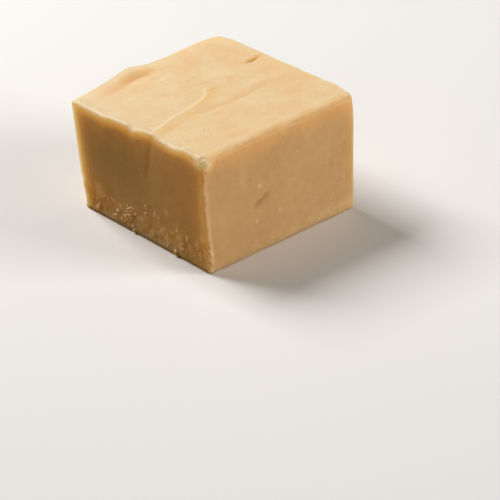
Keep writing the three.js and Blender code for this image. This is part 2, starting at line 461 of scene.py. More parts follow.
def new_material(name: str) -> tuple[bpy.types.Material, Wiring]:
    """Makes a material with an empty tree.

    Args:
        name: The material's name.

    Returns:
        The material, and the wiring of its tree.
    """
    material = bpy.data.materials.new(name)
    material.use_nodes = True
    material.node_tree.nodes.clear()
    return material, Wiring(material.node_tree)


# ---- The poured top ----


@dataclass(frozen=True)
class Oval:
    """A soft oval patch, as a dip or bump of the top or as a share of a wall's colour."""

    centre: Pair
    half_length: float
    half_width: float
    rise: float

    def height(self, x: Array, y: Array) -> Array:
        """Returns what the oval adds at places on its face."""
        away = np.hypot((x - self.centre[0]) / self.half_length, (y - self.centre[1]) / self.half_width)
        return self.rise * bell(away)


@dataclass(frozen=True)
class Groove:
    """A groove that widens and deepens from its start to its end, where it stops short."""

    start: Pair
    end: Pair
    half_width: Pair
    depth: Pair
    begins: Pair = (-0.25, 0.1)
    stop: float = 0.9

    def felt(self, x: Array, y: Array) -> Array:
        """Works out how deep in the groove places are.

        Args:
            x: The places' X from the middle of the top.
            y: Their Y.

        Returns:
            A value from 0 to 1 in its deepest part.
        """
        dx, dy = self.end[0] - self.start[0], self.end[1] - self.start[1]
        length = math.hypot(dx, dy)
        t = ((x - self.start[0]) * dx + (y - self.start[1]) * dy) / length**2
        away = ((x - self.start[0]) * dy - (y - self.start[1]) * dx) / length
        along = np.clip(t, 0.0, 1.0)
        past = np.maximum(t - 1.0, 0.0) * length / self.stop
        share = lerp(self.depth[0], self.depth[1], along) / self.depth[1] * ramp(*self.begins, t)
        return share * bell(away / lerp(*self.half_width, along)) * bell(past)

    def height(self, x: Array, y: Array) -> Array:
        """Returns what the groove takes off the top, as a height below 0."""
        return -self.depth[1] * self.felt(x, y)


@dataclass(frozen=True)
class Fold:
    """The far side of the top, pushed over the near side from the left edge to a curled tip."""

    start: Pair = (-16.4, -3.45)
    end: Pair = (0.4, -0.2)
    curl: float = 2.2
    curl_lateness: int = 14
    hook: float = 0.9
    hook_reach: float = 2.0
    crest: Pair = (0.22, 0.2)
    crest_reach: float = 0.9
    ridge: float = 0.1
    ridge_line: Pair = (0.1, 0.48)
    # Painted shade: a thin darker line just under the crest.
    crack_shade: float = 0.7
    crack_shade_line: Pair = (-0.4, 0.3)
    trough: Pair = (0.15, 0.1)
    trough_reach: float = 1.6
    step: float = 1.9
    fades: Pair = (1.1, 0.98)
    unevenness: float = 0.3
    uneven_pitch: float = 2.3
    row: float = -2.1
    shadow_begins: Pair = (0.1, -0.5)
    shadow_line: Pair = (-1.2, 1.3)
    shadow_fades: Pair = (1.15, 0.95)
    # Where the painted highlight along the crest lies and how wide it is.
    lip_line: Pair = (0.2, 0.45)

    def share(self, x: Array) -> Array:
        """Returns how far along the fold places are: 0 at its start and 1 at its tip."""
        return (x - self.start[0]) / (self.end[0] - self.start[0])

    def line(self, x: Array) -> Array:
        """Works out where the fold runs, turned aside at both ends and straight on past its tip.

        Args:
            x: Places along X from the middle of the top.

        Returns:
            Its Y at each of them.
        """
        t = self.share(x)
        straight = lerp(self.start[1], self.end[1], np.minimum(t, 1.0))
        hooked = self.hook * np.exp(-np.maximum(x - self.start[0], 0.0) / self.hook_reach)
        return straight - hooked + self.curl * np.clip(t, 0.0, 1.0) ** self.curl_lateness

    def height(self, x: Array, y: Array) -> Array:
        """Works out the step that the fold makes.

        Args:
            x: Places along X from the middle of the even block.
            y: Places along Y.

        Returns:
            The height that it adds.
        """
        t = self.share(x)
        away = y - self.line(x)
        along = np.clip(t, 0.0, 1.0)
        far_side = lerp(*self.crest, along) * np.exp(-np.maximum(away, 0.0) / self.crest_reach)
        near_side = -lerp(*self.trough, along) * bell((away + self.step) / self.trough_reach)
        ridge = self.ridge * bell((away - self.ridge_line[0]) / self.ridge_line[1])
        share = ramp(*self.fades, t) * (1.0 + self.unevenness * noise(x / self.uneven_pitch, 11.0))
        return share * (lerp(near_side, far_side, ramp(-self.step, 0.0, away)) + ridge)

    def shadow(self, x: Array, y: Array) -> Array:
        """Works out how deep in the fold's near side places are, for the shade painted there.

        Args:
            x: The places' X from the middle of the top.
            y: Their Y.

        Returns:
            A value from 0 to 1.
        """
        away = y - self.line(x)
        past = np.minimum(away - self.shadow_line[0], 0.0) / self.shadow_line[1]
        wide = ramp(*self.shadow_begins, away) * bell(past)
        crack_shade = self.crack_shade * bell((away - self.crack_shade_line[0]) / self.crack_shade_line[1])
        return ramp(*self.shadow_fades, self.share(x)) * (wide + crack_shade)

    def lip(self, x: Array, y: Array) -> Array:
        """Returns how near to the fold's crest places are, from 0 to 1, for the highlight painted there."""
        away = y - self.line(x)
        return ramp(*self.fades, self.share(x)) * bell((away - self.lip_line[0]) / self.lip_line[1])


@dataclass(frozen=True)
class Crease:
    """A shallow furrow that runs on from the fold towards the right."""

    start: Pair = (-6.2, -3.3)
    end: Pair = (11.0, -3.1)
    begins: Pair = (0.0, 0.15)
    fades: Pair = (1.0, 0.7)
    sag: float = -0.8
    depth: float = 0.27
    width: float = 0.85
    bank: float = 0.08
    bank_reach: float = 1.6

    def felt(self, x: Array, y: Array, width: float) -> Array:
        """Works out how near to the furrow places are.

        Args:
            x: The places' X from the middle of the top.
            y: Their Y.
            width: The width of the furrow.

        Returns:
            A value from 0 to 1 in the middle of it.
        """
        t = (x - self.start[0]) / (self.end[0] - self.start[0])
        line = lerp(self.start[1], self.end[1], t) + self.sag * np.sin(np.pi * t)
        return bell((y - line) / width) * ramp(*self.begins, t) * ramp(*self.fades, t)

    def height(self, x: Array, y: Array) -> Array:
        """Returns what the furrow and the low bank on its far side add to the top."""
        bank = self.bank * self.felt(x, y - self.bank_reach, self.width)
        return bank - self.depth * self.felt(x, y, self.width)


@dataclass(frozen=True)
class EdgeMark:
    """A bump or a dip of the top at one place along its left edge."""

    at: float
    half_width: float
    rise: float


@dataclass(frozen=True)
class Rim:
    """The rim that stood up against the pan, along the far edge."""

    middle: float = -5.4
    half_length: float = 6.2
    rise: float = 0.9
    inset: Pair = (2.5, 1.1)
    steepens: Pair = (-9.0, -5.0)
    crest: float = 1.5
    fall: float = 0.25
    bulge: float = 0.3
    raggedness: float = 0.45
    ragged_pitch: float = 1.6

    def share(self, x: Array) -> Array:
        """Returns how much of the rim stands at places along X: 1 in its middle."""
        return bell((x - self.middle) / self.half_length)

    def height(self, x: Array, y: Array, edge: float) -> Array:
        """Works out what the rim adds to the top.

        Args:
            x: The places' X from the middle of the top.
            y: Their Y.
            edge: The Y of the far edge.

        Returns:
            The change of height at each place.
        """
        ragged = self.raggedness * noise(x / self.ragged_pitch, y / self.ragged_pitch + 6.0)
        inset = lerp(*self.inset, ramp(*self.steepens, x))
        up = ramp(-self.crest - inset, -self.crest, y - edge + ragged)
        down = self.fall * ramp(-self.crest, 0.0, y - edge)
        return self.rise * self.share(x) * (up - down)


@dataclass(frozen=True)
class Strokes:
    """The faint unevenness that the spatula left, drawn out along X."""

    length: float = 11.0
    width: float = 2.1
    rise: float = 0.05
    patch: Pair = (3.4, 2.3)
    patch_rise: float = 0.035

    def height(self, x: Array, y: Array) -> Array:
        """Returns the strokes' height at places from the middle of the even block."""
        patches = noise(x / self.patch[0] + 5.0, y / self.patch[1] + 2.0)
        return self.rise * noise(x / self.length, y / self.width) + self.patch_rise * patches


@dataclass
class PouredTop:
    """The top of the slab, smoothed with a spatula while it was warm."""

    reach: float = 9.0
    fold: Fold = field(default_factory=Fold)
    crease: Crease = field(default_factory=Crease)
    rim: Rim = field(default_factory=Rim)
    strokes: Strokes = field(default_factory=Strokes)
    left_reach: float = 1.7
    roll: float = 0.08
    roll_reach: float = 1.3
    left_edge: tuple[EdgeMark, ...] = (
        EdgeMark(10.0, 2.2, -0.3),
        EdgeMark(5.8, 1.1, 0.1),
        EdgeMark(1.2, 1.1, -0.48),
        EdgeMark(-2.0, 1.5, 0.3),
        EdgeMark(-8.4, 1.9, -0.52),
        EdgeMark(-11.2, 0.9, 0.2),
        EdgeMark(-15.2, 1.6, -0.45),
    )
    rim_hollow: Groove = Groove((-8.5, 13.2), (-1.8, 14.2), (0.7, 1.0), (0.05, 0.18))
    gouge: Oval = Oval((12.8, 4.6), 1.6, 0.38, -0.55)
    dips: tuple[Oval, ...] = (
        Oval((-1.4, 11.4), 1.2, 0.9, -0.14),
        Oval((-5.0, 6.4), 1.6, 0.8, -0.13),
        Oval((-9.0, -13.9), 5.0, 0.7, -0.13),
        Oval((-0.2, 0.9), 0.5, 0.8, -0.14),
        Oval((1.3, 1.3), 0.5, 0.5, -0.2),
        Oval((-4.9, -1.2), 0.5, 0.35, -0.15),
        Oval((-9.6, 8.7), 1.9, 0.35, 0.09),
        Oval((7.6, -2.1), 2.4, 0.35, 0.07),
        Oval((13.5, 5.45), 1.7, 0.35, 0.27),
        Oval((13.0, 3.9), 1.8, 0.7, -0.14),
        Oval((-4.0, 16.0), 2.2, 1.8, 0.45),
        Oval((15.5, -9.0), 2.0, 3.2, -0.18),
    )
    shades: tuple[Oval, ...] = (
        Oval((-10.5, 5.5), 8.0, 8.0, 0.4),
        Oval((-13.5, 14.8), 2.5, 2.0, 0.6),
        Oval((-9.0, -8.3), 4.0, 2.4, 0.4),
        Oval((0.8, 14.3), 0.7, 0.7, 0.8),
        Oval((-3.0, 9.2), 0.9, 0.35, 0.4),
        Oval((-9.7, 8.8), 1.8, 0.4, 0.6),
        Oval((8.2, 10.7), 0.8, 0.4, 0.45),
        Oval((10.8, 7.4), 0.6, 0.4, 0.4),
        Oval((0.0, 3.8), 0.9, 0.6, 0.4),
        Oval((-1.7, -1.4), 0.9, 0.5, 0.5),
        Oval((7.6, -2.0), 2.4, 0.4, 0.5),
        # Painted shade: the negative ovals lie over the dips above and deepen their colour.
        Oval((-1.2, 11.7), 0.6, 0.8, -0.35),
        Oval((-4.9, 6.2), 1.2, 0.6, -0.4),
        Oval((-0.4, 0.8), 0.45, 0.9, -0.6),
        Oval((1.4, 1.4), 0.45, 0.45, -0.8),
        Oval((-4.9, -1.1), 0.45, 0.3, -0.7),
        Oval((-7.7, -13.0), 1.8, 0.4, -0.4),
    )
    specks: tuple[Pair, ...] = (
        (-1.2, 10.1),
        (-12.8, -8.2),
        (-5.5, -9.3),
        (-8.7, -8.9),
        (-10.2, -5.1),
        (-0.1, 2.8),
        (-14.6, -2.6),
        (-14.4, -3.9),
    )
    rolled_ends: Pair = (-6.0, 8.0)
    rolled_least: float = 0.4
    # Painted shade: how deeply the fold, crease, gouge and rim hollow are laid with deeper colour.
    recess_shade_crease_width: float = 0.45
    recess_shade_patch: Pair = (1.5, 0.7)
    recess_shade_patches: Pair = (0.8, 0.45)
    recess_shade_fold: Pair = (0.55, 0.4)
    recess_shade_gouge: float = 2.0
    recess_shade_hollow: float = 0.6
    recess_shade_hollow_shift: float = 0.3
    recess_shade_crease: float = 0.35
    speck_radius: float = 0.5

    def height(self, x: Array, y: Array, size: Array) -> Array:
        """Adds up every mark of the top.

        Args:
            x: Places along X from the middle of the even block.
            y: Places along Y.
            size: The even block's size.

        Returns:
            The height to add.
        """
        from_left = x + size[0] / 2.0
        left = bell(from_left / self.left_reach)
        evenly = lerp(self.rolled_least, 1.0, ramp(*self.rolled_ends, y))
        rolled = self.roll * bell(from_left / self.roll_reach) * evenly
        marks = sum(mark.rise * bell((y - mark.at) / mark.half_width) for mark in self.left_edge)
        ovals = sum(oval.height(x, y) for oval in (self.rim_hollow, self.gouge, *self.dips))
        lines = self.fold.height(x, y) + self.crease.height(x, y)
        edges = left * marks - rolled + self.rim.height(x, y, size[1] / 2.0)
        return lines + ovals + edges + self.strokes.height(x, y)

    def moist(self, x: Array, y: Array) -> Array:
        """Works out where shade is painted on the top: in its fold, crease, gouge and rim hollow.

        Args:
            x: The places' X from the middle of the top.
            y: Their Y.

        Returns:
            A value from 0 to 1.
        """
        gouge = -self.recess_shade_gouge * self.gouge.height(x, y)
        hollow = self.recess_shade_hollow * self.rim_hollow.felt(x, y - self.recess_shade_hollow_shift)
        crease = self.recess_shade_crease * self.crease.felt(x, y, self.recess_shade_crease_width)
        patches = noise(x / self.recess_shade_patch[0], y / self.recess_shade_patch[1] + 3.0)
        patchy = self.recess_shade_patches[0] + self.recess_shade_patches[1] * patches
        fold = self.fold.shadow(x, y) * lerp(*self.recess_shade_fold, self.fold.share(x)) * patchy
        return np.clip(fold + gouge + hollow + crease, 0.0, 1.0)

    def shade(self, x: Array, y: Array) -> Array:
        """Returns how pale or how deep the top is laid, from 1 to -1: pale smears, and painted shade in its
        dips.
        """
        return sum(smear.height(x, y) for smear in self.shades)

    def specked(self, x: Array, y: Array) -> Array:
        """Returns how near to a loose speck places are, from 0 to 1."""
        return bell(np.min([np.hypot(x - i, y - j) for i, j in self.specks], axis=0) / self.speck_radius)


# ---- The cut walls ----


@dataclass
class CutWalls:
    """The four knife cuts, the near left one torn along its foot."""

    swell_pitch: float = 11.0
    wall_steps: tuple[int, int] = (7, 3)
    swell_depth: float = 0.16
    sets_in: float = 1.6
    drawn_in: float = 0.06
    reach: float = 2.5
    seam: tuple[Pair, Pair] = ((-4.0, 20.5), (-1.8, 13.0))
    seam_depth: float = 0.12
    seam_half_width: float = 0.6
    torn_height: float = 6.5
    torn_waves: Pair = (1.5, 3.0)
    torn_foot_clear: float = 0.9
    torn_pitch: float = 1.5
    torn_depth: float = 0.17
    torn_share: float = 0.4
    dent: tuple[Pair, Pair] = ((-5.2, 8.7), (-3.7, 9.4))
    dent_depth: float = 0.26
    dent_half_width: float = 0.75
    dent_waves: Pair = (0.4, 0.7)
    scuffs: tuple[Triple, ...] = ((-4.7, 11.9, 0.4), (-0.7, 6.1, 0.3), (-5.6, 5.9, 0.3))
    fray_height: float = 2.6
    fray_waves: Pair = (1.2, 2.1)
    fray_begins: Pair = (-9.0, 2.0)
    fray_least: float = 0.45
    # A darker olive patch over the upper middle of the left wall.
    damp: Oval = Oval((6.5, 12.5), 9.0, 5.0, 0.52)
    fleck_height: float = 0.75
    torn_flecks: tuple[Triple, ...] = (
        (-3.8, 5.5, 0.45), (-9.6, 2.6, 0.45), (6.1, 1.8, 0.8), (8.6, 1.2, 0.6),
        (-5.5, 2.3, 0.4), (5.2, 2.9, 0.95), (-6.1, 7.7, 0.35), (2.9, 4.2, 0.8),
        (-4.9, 4.3, 0.4), (-2.8, 5.9, 0.4), (3.8, 3.5, 0.95), (-13.5, 4.4, 0.4),
        (3.3, 1.0, 0.4), (-13.7, 3.6, 0.35), (-11.7, 3.3, 0.4), (-11.1, 4.7, 0.4),
        (6.5, 4.1, 0.4), (12.7, 1.4, 0.4), (-0.5, 6.3, 0.35), (-0.6, 5.0, 0.35),
        (-7.8, 0.9, 0.4), (0.6, 3.6, 0.3), (7.0, 3.0, 0.4), (-14.6, 2.4, 0.4),
        (13.6, 1.2, 0.3), (4.4, 4.9, 0.3), (-8.6, 5.2, 0.3), (-15.0, 6.1, 0.3),
    )

    def swell(self, along: Array, up: Array, wall: int) -> Array:
        """Returns the slow swell of a wall, read at its own place on the lattice."""
        a, b = (places / self.swell_pitch + step * wall for places, step in zip((along, up), self.wall_steps))
        return self.swell_depth * noise(a, b)

    def torn_band(self, y: Array, z: Array) -> Array:
        """Returns how torn the left wall is, from 0 to 1."""
        ragged = z + self.torn_waves[0] * noise(y / self.torn_waves[1], 5.0)
        return ramp(self.torn_height, 0.5 * self.torn_height, ragged) * ramp(0.0, self.torn_foot_clear, z)

    def left(self, y: Array, z: Array) -> Array:
        """Works out how far the left wall stands out.

        Args:
            y: The places' Y from the middle of the wall.
            z: Their height.

        Returns:
            The amount at each place.
        """
        pits = np.maximum(0.0, noise(y / self.torn_pitch, z / self.torn_pitch) + self.torn_share)
        torn = self.torn_depth * self.torn_band(y, z) * pits
        return self.swell(y, z, 1) - torn - self.seam_depth * self.seamed(y, z)

    def seamed(self, y: Array, z: Array) -> Array:
        """Returns how near to the left wall's seam places are, from 0 to 1."""
        return bell(distance_to_stretch(*self.seam, y, z) / self.seam_half_width)

    def scuffed(self, x: Array, z: Array) -> Array:
        """Returns how near to the near wall's pale scuffs places are, from 0 to 1."""
        return bell(np.min([np.hypot(x - at, z - up) / r for at, up, r in self.scuffs], axis=0))

    def dented(self, x: Array, z: Array) -> Array:
        """Works out how near to the near wall's dent places are.

        Args:
            x: The places' X from the middle of the wall.
            z: Their height.

        Returns:
            A value from 0 to 1 in the middle of it.
        """
        rise, pitch = self.dent_waves
        uneven = 1.0 + rise * noise(x / pitch, z / pitch + 4.0)
        return bell(distance_to_stretch(*self.dent, x, z) / (self.dent_half_width * uneven))

    def near(self, x: Array, z: Array) -> Array:
        """Returns how far the near wall stands out."""
        return self.swell(x, z, 2) - self.dent_depth * self.dented(x, z)

    def frayed(self, x: Array, z: Array) -> Array:
        """Works out how frayed the near wall is along its foot, where it is also laid paler as painted light
        from below.

        Args:
            x: The places' X from the middle of the wall.
            z: Their height.

        Returns:
            A value from 0 to 1.
        """
        ragged = z + self.fray_waves[0] * noise(x / self.fray_waves[1], 17.0)
        along = lerp(self.fray_least, 1.0, ramp(*self.fray_begins, x))
        return ramp(self.fray_height, 0.3 * self.fray_height, ragged) * along

    def flecked(self, y: Array, z: Array) -> Array:
        """Returns how thickly loose flecks lie on the torn wall, from 0 to 1."""
        away = [np.hypot(y - at, (z - up) * self.fleck_height) / r for at, up, r in self.torn_flecks]
        return bell(np.min(away, axis=0))


# ---- The block ----


@dataclass(frozen=True)
class Upright:
    """One upright edge, from its foot on the table to its head, where sharp edges would meet."""

    foot: Triple
    head: Triple
    soften: float

    def at(self, share: Array) -> Array:
        """Returns the upright's place at each share of its height."""
        return lerp(np.array(self.foot), np.array(self.head), share[:, None])


@dataclass(frozen=True)
class MeshLines:
    """How close together the lines of the mesh lie along one side of the even block."""

    cell: float
    edge_cell: float = 0.15
    edge_reach: float = 1.8
    fine: tuple[Triple, ...] = ()
    fine_fade: float = 1.0
    samples: int = 4001

    def places(self, length: float) -> Array:
        """Spaces the lines.

        Args:
            length: The side's length.

        Returns:
            The lines' places, close together near both ends and in the fine stretches.
        """
        s = np.linspace(0.0, length, self.samples)
        gap = lerp(self.edge_cell, self.cell, ramp(0.0, self.edge_reach, np.minimum(s, length - s)))
        for start, end, cell in self.fine:
            inside = ramp(start - self.fine_fade, start, s) * ramp(end + self.fine_fade, end, s)
            gap = np.minimum(gap, lerp(self.cell, cell, inside))
        count = np.concatenate([[0.0], np.cumsum(np.diff(s) * 0.5 * (1.0 / gap[1:] + 1.0 / gap[:-1]))])
        return np.interp(np.linspace(0.0, count[-1], math.ceil(count[-1]) + 1), count, s)


def shell_grid(cells: Sequence[int]) -> tuple[Array, Array]:
    """Numbers the points on the outside of a box of cells and joins them.

    Args:
        cells: The number of cells along each axis.

    Returns:
        Each point's place on the three axes, and the quads that join them, facing out.
    """
    number = np.full([count + 1 for count in cells], -1)
    shell = np.zeros(number.shape, bool)
    for axis in range(3):
        sheets = np.moveaxis(shell, axis, 0)
        sheets[[0, -1]] = True
    number[shell] = np.arange(shell.sum())
    quads = []
    for axis in range(3):
        for last in (False, True):
            sheet = np.take(number, -1 if last else 0, axis=axis)
            first, second = sheet[:-1], sheet[1:]
            quad = np.stack([first[:, :-1], second[:, :-1], second[:, 1:], first[:, 1:]], -1).reshape(-1, 4)
            faces_out = last != (axis == 1)
            quads.append(quad if faces_out else quad[:, ::-1])
    return np.argwhere(shell), np.concatenate(quads)


@dataclass(frozen=True)
class EdgeLine:
    """A soft line along an edge: how far in its middle lies, and how far it reaches from there."""

    inset: float
    reach: float

    def near(self, away: Array) -> Array:
        """Returns how near to the line places are, from 0 to 1, by how far from the edge they are."""
        return bell((away - self.inset) / self.reach)


@dataclass(frozen=True)
class Skin:
    """How the block's surface changes towards its edges. Points are on the even block."""

    size: Triple
    crust_ends: Pair = (0.75, 0.2)
    crust_ends_left: Pair = (0.45, 0.0)
    raggedness: float = 0.12
    ragged_pitch: float = 0.9
    patches: Pair = (0.6, 0.7)
    patch_pitch: float = 1.7
    # Pale lines along the edges: partly dry crust, partly painted highlight.
    near_line: EdgeLine = EdgeLine(1.5, 0.35)
    near_line_waver: float = 1.2
    near_line_down: Pair = (0.6, 0.2)
    left_line: EdgeLine = EdgeLine(1.0, 0.6)
    left_line_height: float = 2.0
    left_line_least: float = 0.3
    far_line: EdgeLine = EdgeLine(0.4, 0.8)
    far_line_down: Pair = (1.2, 0.3)
    far_line_share: float = 0.5
    upright_line: Pair = (0.2, 0.1)
    upright_reach: float = 0.5
    upright_share: float = 0.7
    corner: Triple = (0.4, 0.4, 1.0)
    corner_reach: float = 1.1
    knob: Triple = (0.6, 0.5, 0.75)
    knob_ends: Pair = (1.15, 0.35)
    crumbly_shares: Pair = (0.3, 0.4)
    wall_ends: Pair = (0.9, 0.3)
    glow_down: Pair = (0.0, 0.65)
    glow_left: float = 0.35
    glow_torn: float = 0.5
    # Painted glow: a golden band on the walls under the top and by the uprights, where light shines through.
    painted_glow_depth: float = 1.5
    painted_glow_waves: Pair = (0.35, 3.1)
    painted_glow_ends: Pair = (1.5, 0.35)
    painted_glow_corner: Pair = (0.6, 4.0)
    painted_glow_near: Pair = (2.0, 0.33)
    painted_glow_near_ends: Pair = (2.2, 1.4)
    painted_glow_near_begins: Pair = (0.1, 0.9)
    painted_glow_far_reach: float = 1.9
    painted_glow_near_reach: Pair = (3.2, 1.2)
    painted_glow_near_share: float = 0.5

    def down(self, even: Array) -> Array:
        """Returns how far below the even block's top points are."""
        return self.size[2] - even[:, 2]

    def from_corner(self, even: Array, corner: Triple) -> Array:
        """Returns how far points are from a place given from the near left corner of the top."""
        return np.linalg.norm(even - np.array([corner[0], corner[1], self.size[2] - corner[2]]), axis=1)

    def ragged(self, even: Array) -> Array:
        """Returns how far the border of the crust wavers."""
        return noise(even[:, 0] / self.ragged_pitch + 3.0, even[:, 1] / self.ragged_pitch) * self.raggedness

    def crust(self, even: Array) -> Array:
        """Works out how much points are on the poured top.

        Args:
            even: Points on the even block.

        Returns:
            A value from 0 to 1.
        """
        by_left = bell(even[:, 0])
        begins, full = (lerp(*ends, by_left) for ends in zip(self.crust_ends, self.crust_ends_left))
        return ramp(begins, full, self.down(even) + self.ragged(even))

    def near_dry_and_highlight(self, even: Array) -> Array:
        """Returns how near points are to the near edge's pale line, dry and painted highlight, from 0 to 1.
        """
        return self.near_line.near(even[:, 1] - self.near_line_waver * self.ragged(even))

    def left_dry_and_highlight(self, even: Array) -> Array:
        """Returns how near points are to the left edge's pale line, dry and painted highlight, from 0 to 1.
        """
        away = np.hypot(even[:, 0] - self.left_line.inset, self.left_line_height * self.down(even))
        return bell(away / self.left_line.reach)

    def upright_dry_and_highlight(self, even: Array) -> Array:
        """Returns how near points are to the near left upright's pale line, dry and painted highlight, from 0
        to 1.
        """
        away = np.hypot(even[:, 0] - self.upright_line[0], even[:, 1] - self.upright_line[1])
        return bell(away / self.upright_reach)

    def dry_edges_and_highlights(self, even: Array) -> Array:
        """Works out how dry and pale the block's edges are, with highlight painted along them.

        Args:
            even: Points on the even block.

        Returns:
            A value from 0 to about 1.
        """
        down = self.down(even)
        pitch = self.patch_pitch
        patchy = self.patches[0] + self.patches[1] * noise(even[:, 0] / pitch, even[:, 1] / pitch + 9.0)
        near = self.near_dry_and_highlight(even) * ramp(*self.near_line_down, down) * patchy
        left = self.left_dry_and_highlight(even) * (self.left_line_least + np.maximum(patchy, 0.0))
        far = self.far_line_share * self.far_line.near(self.size[1] - even[:, 1])
        far *= ramp(*self.far_line_down, down)
        return np.max([near, left, far, self.upright_share * self.upright_dry_and_highlight(even)], axis=0)

    def dry_corner(self, even: Array) -> Array:
        """Returns how near to the near left corner of the top points are, from 0 to 1."""
        return bell(self.from_corner(even, self.corner) / self.corner_reach)

    def knobbly(self, even: Array) -> Array:
        """Returns how much points are on the clinging crumb, from 0 to 1."""
        return ramp(*self.knob_ends, self.from_corner(even, self.knob))

    def crumbly(self, even: Array) -> Array:
        """Returns how crumbly the block's edges are."""
        near, left = self.crumbly_shares
        return self.near_dry_and_highlight(even) * near + self.left_dry_and_highlight(even) * left + self.upright_dry_and_highlight(even)

    def wall(self, away: Array) -> Array:
        """Returns how much points are on a wall, from 0 to 1, by how far from it they are."""
        return ramp(*self.wall_ends, away)

    def glow(self, even: Array, torn: Array) -> Array:
        """Works out how far light shines into the block.

        Args:
            even: Points on the even block.
            torn: How torn they are.

        Returns:
            A value from 0 to 1 for each point: least on top, on dry edges and where it is torn.
        """
        by_wall = ramp(*self.glow_down, self.down(even)) * lerp(self.glow_left, 1.0, self.wall(even[:, 0]))
        return by_wall * (1.0 - np.clip(self.dry_edges_and_highlights(even), 0.0, 1.0)) * (1.0 - self.glow_torn * torn)

    def rind(self, even: Array) -> Array:
        """Works out where glow is painted on the walls: a golden ragged band under the top and beside the
        uprights.

        Args:
            even: Points on the even block.

        Returns:
            The share of gold at each point, from 0 to 1.
        """
        x, y = even[:, 0], even[:, 1]
        on_near = ramp(*self.painted_glow_near_ends, y) * ramp(*self.painted_glow_near_begins, x)
        rise, pitch = self.painted_glow_waves
        band = self.painted_glow_depth * (1.0 + rise * noise((x - y) / pitch, 23.0))
        least, begins = self.painted_glow_corner
        band *= lerp(lerp(least, 1.0, ramp(0.0, begins, y)), self.painted_glow_near[0], on_near)
        outer, inner = self.painted_glow_ends
        under_top = ramp(outer * band, inner * band, self.down(even))
        far_left = np.hypot(x, y - self.size[1]) / self.painted_glow_far_reach
        near_left = np.hypot(x, y) / lerp(*self.painted_glow_near_reach, even[:, 2] / self.size[2])
        upright = np.maximum(bell(far_left), self.painted_glow_near_share * bell(near_left))
        return np.maximum(under_top * lerp(1.0, self.painted_glow_near[1], on_near), upright * self.wall(x))


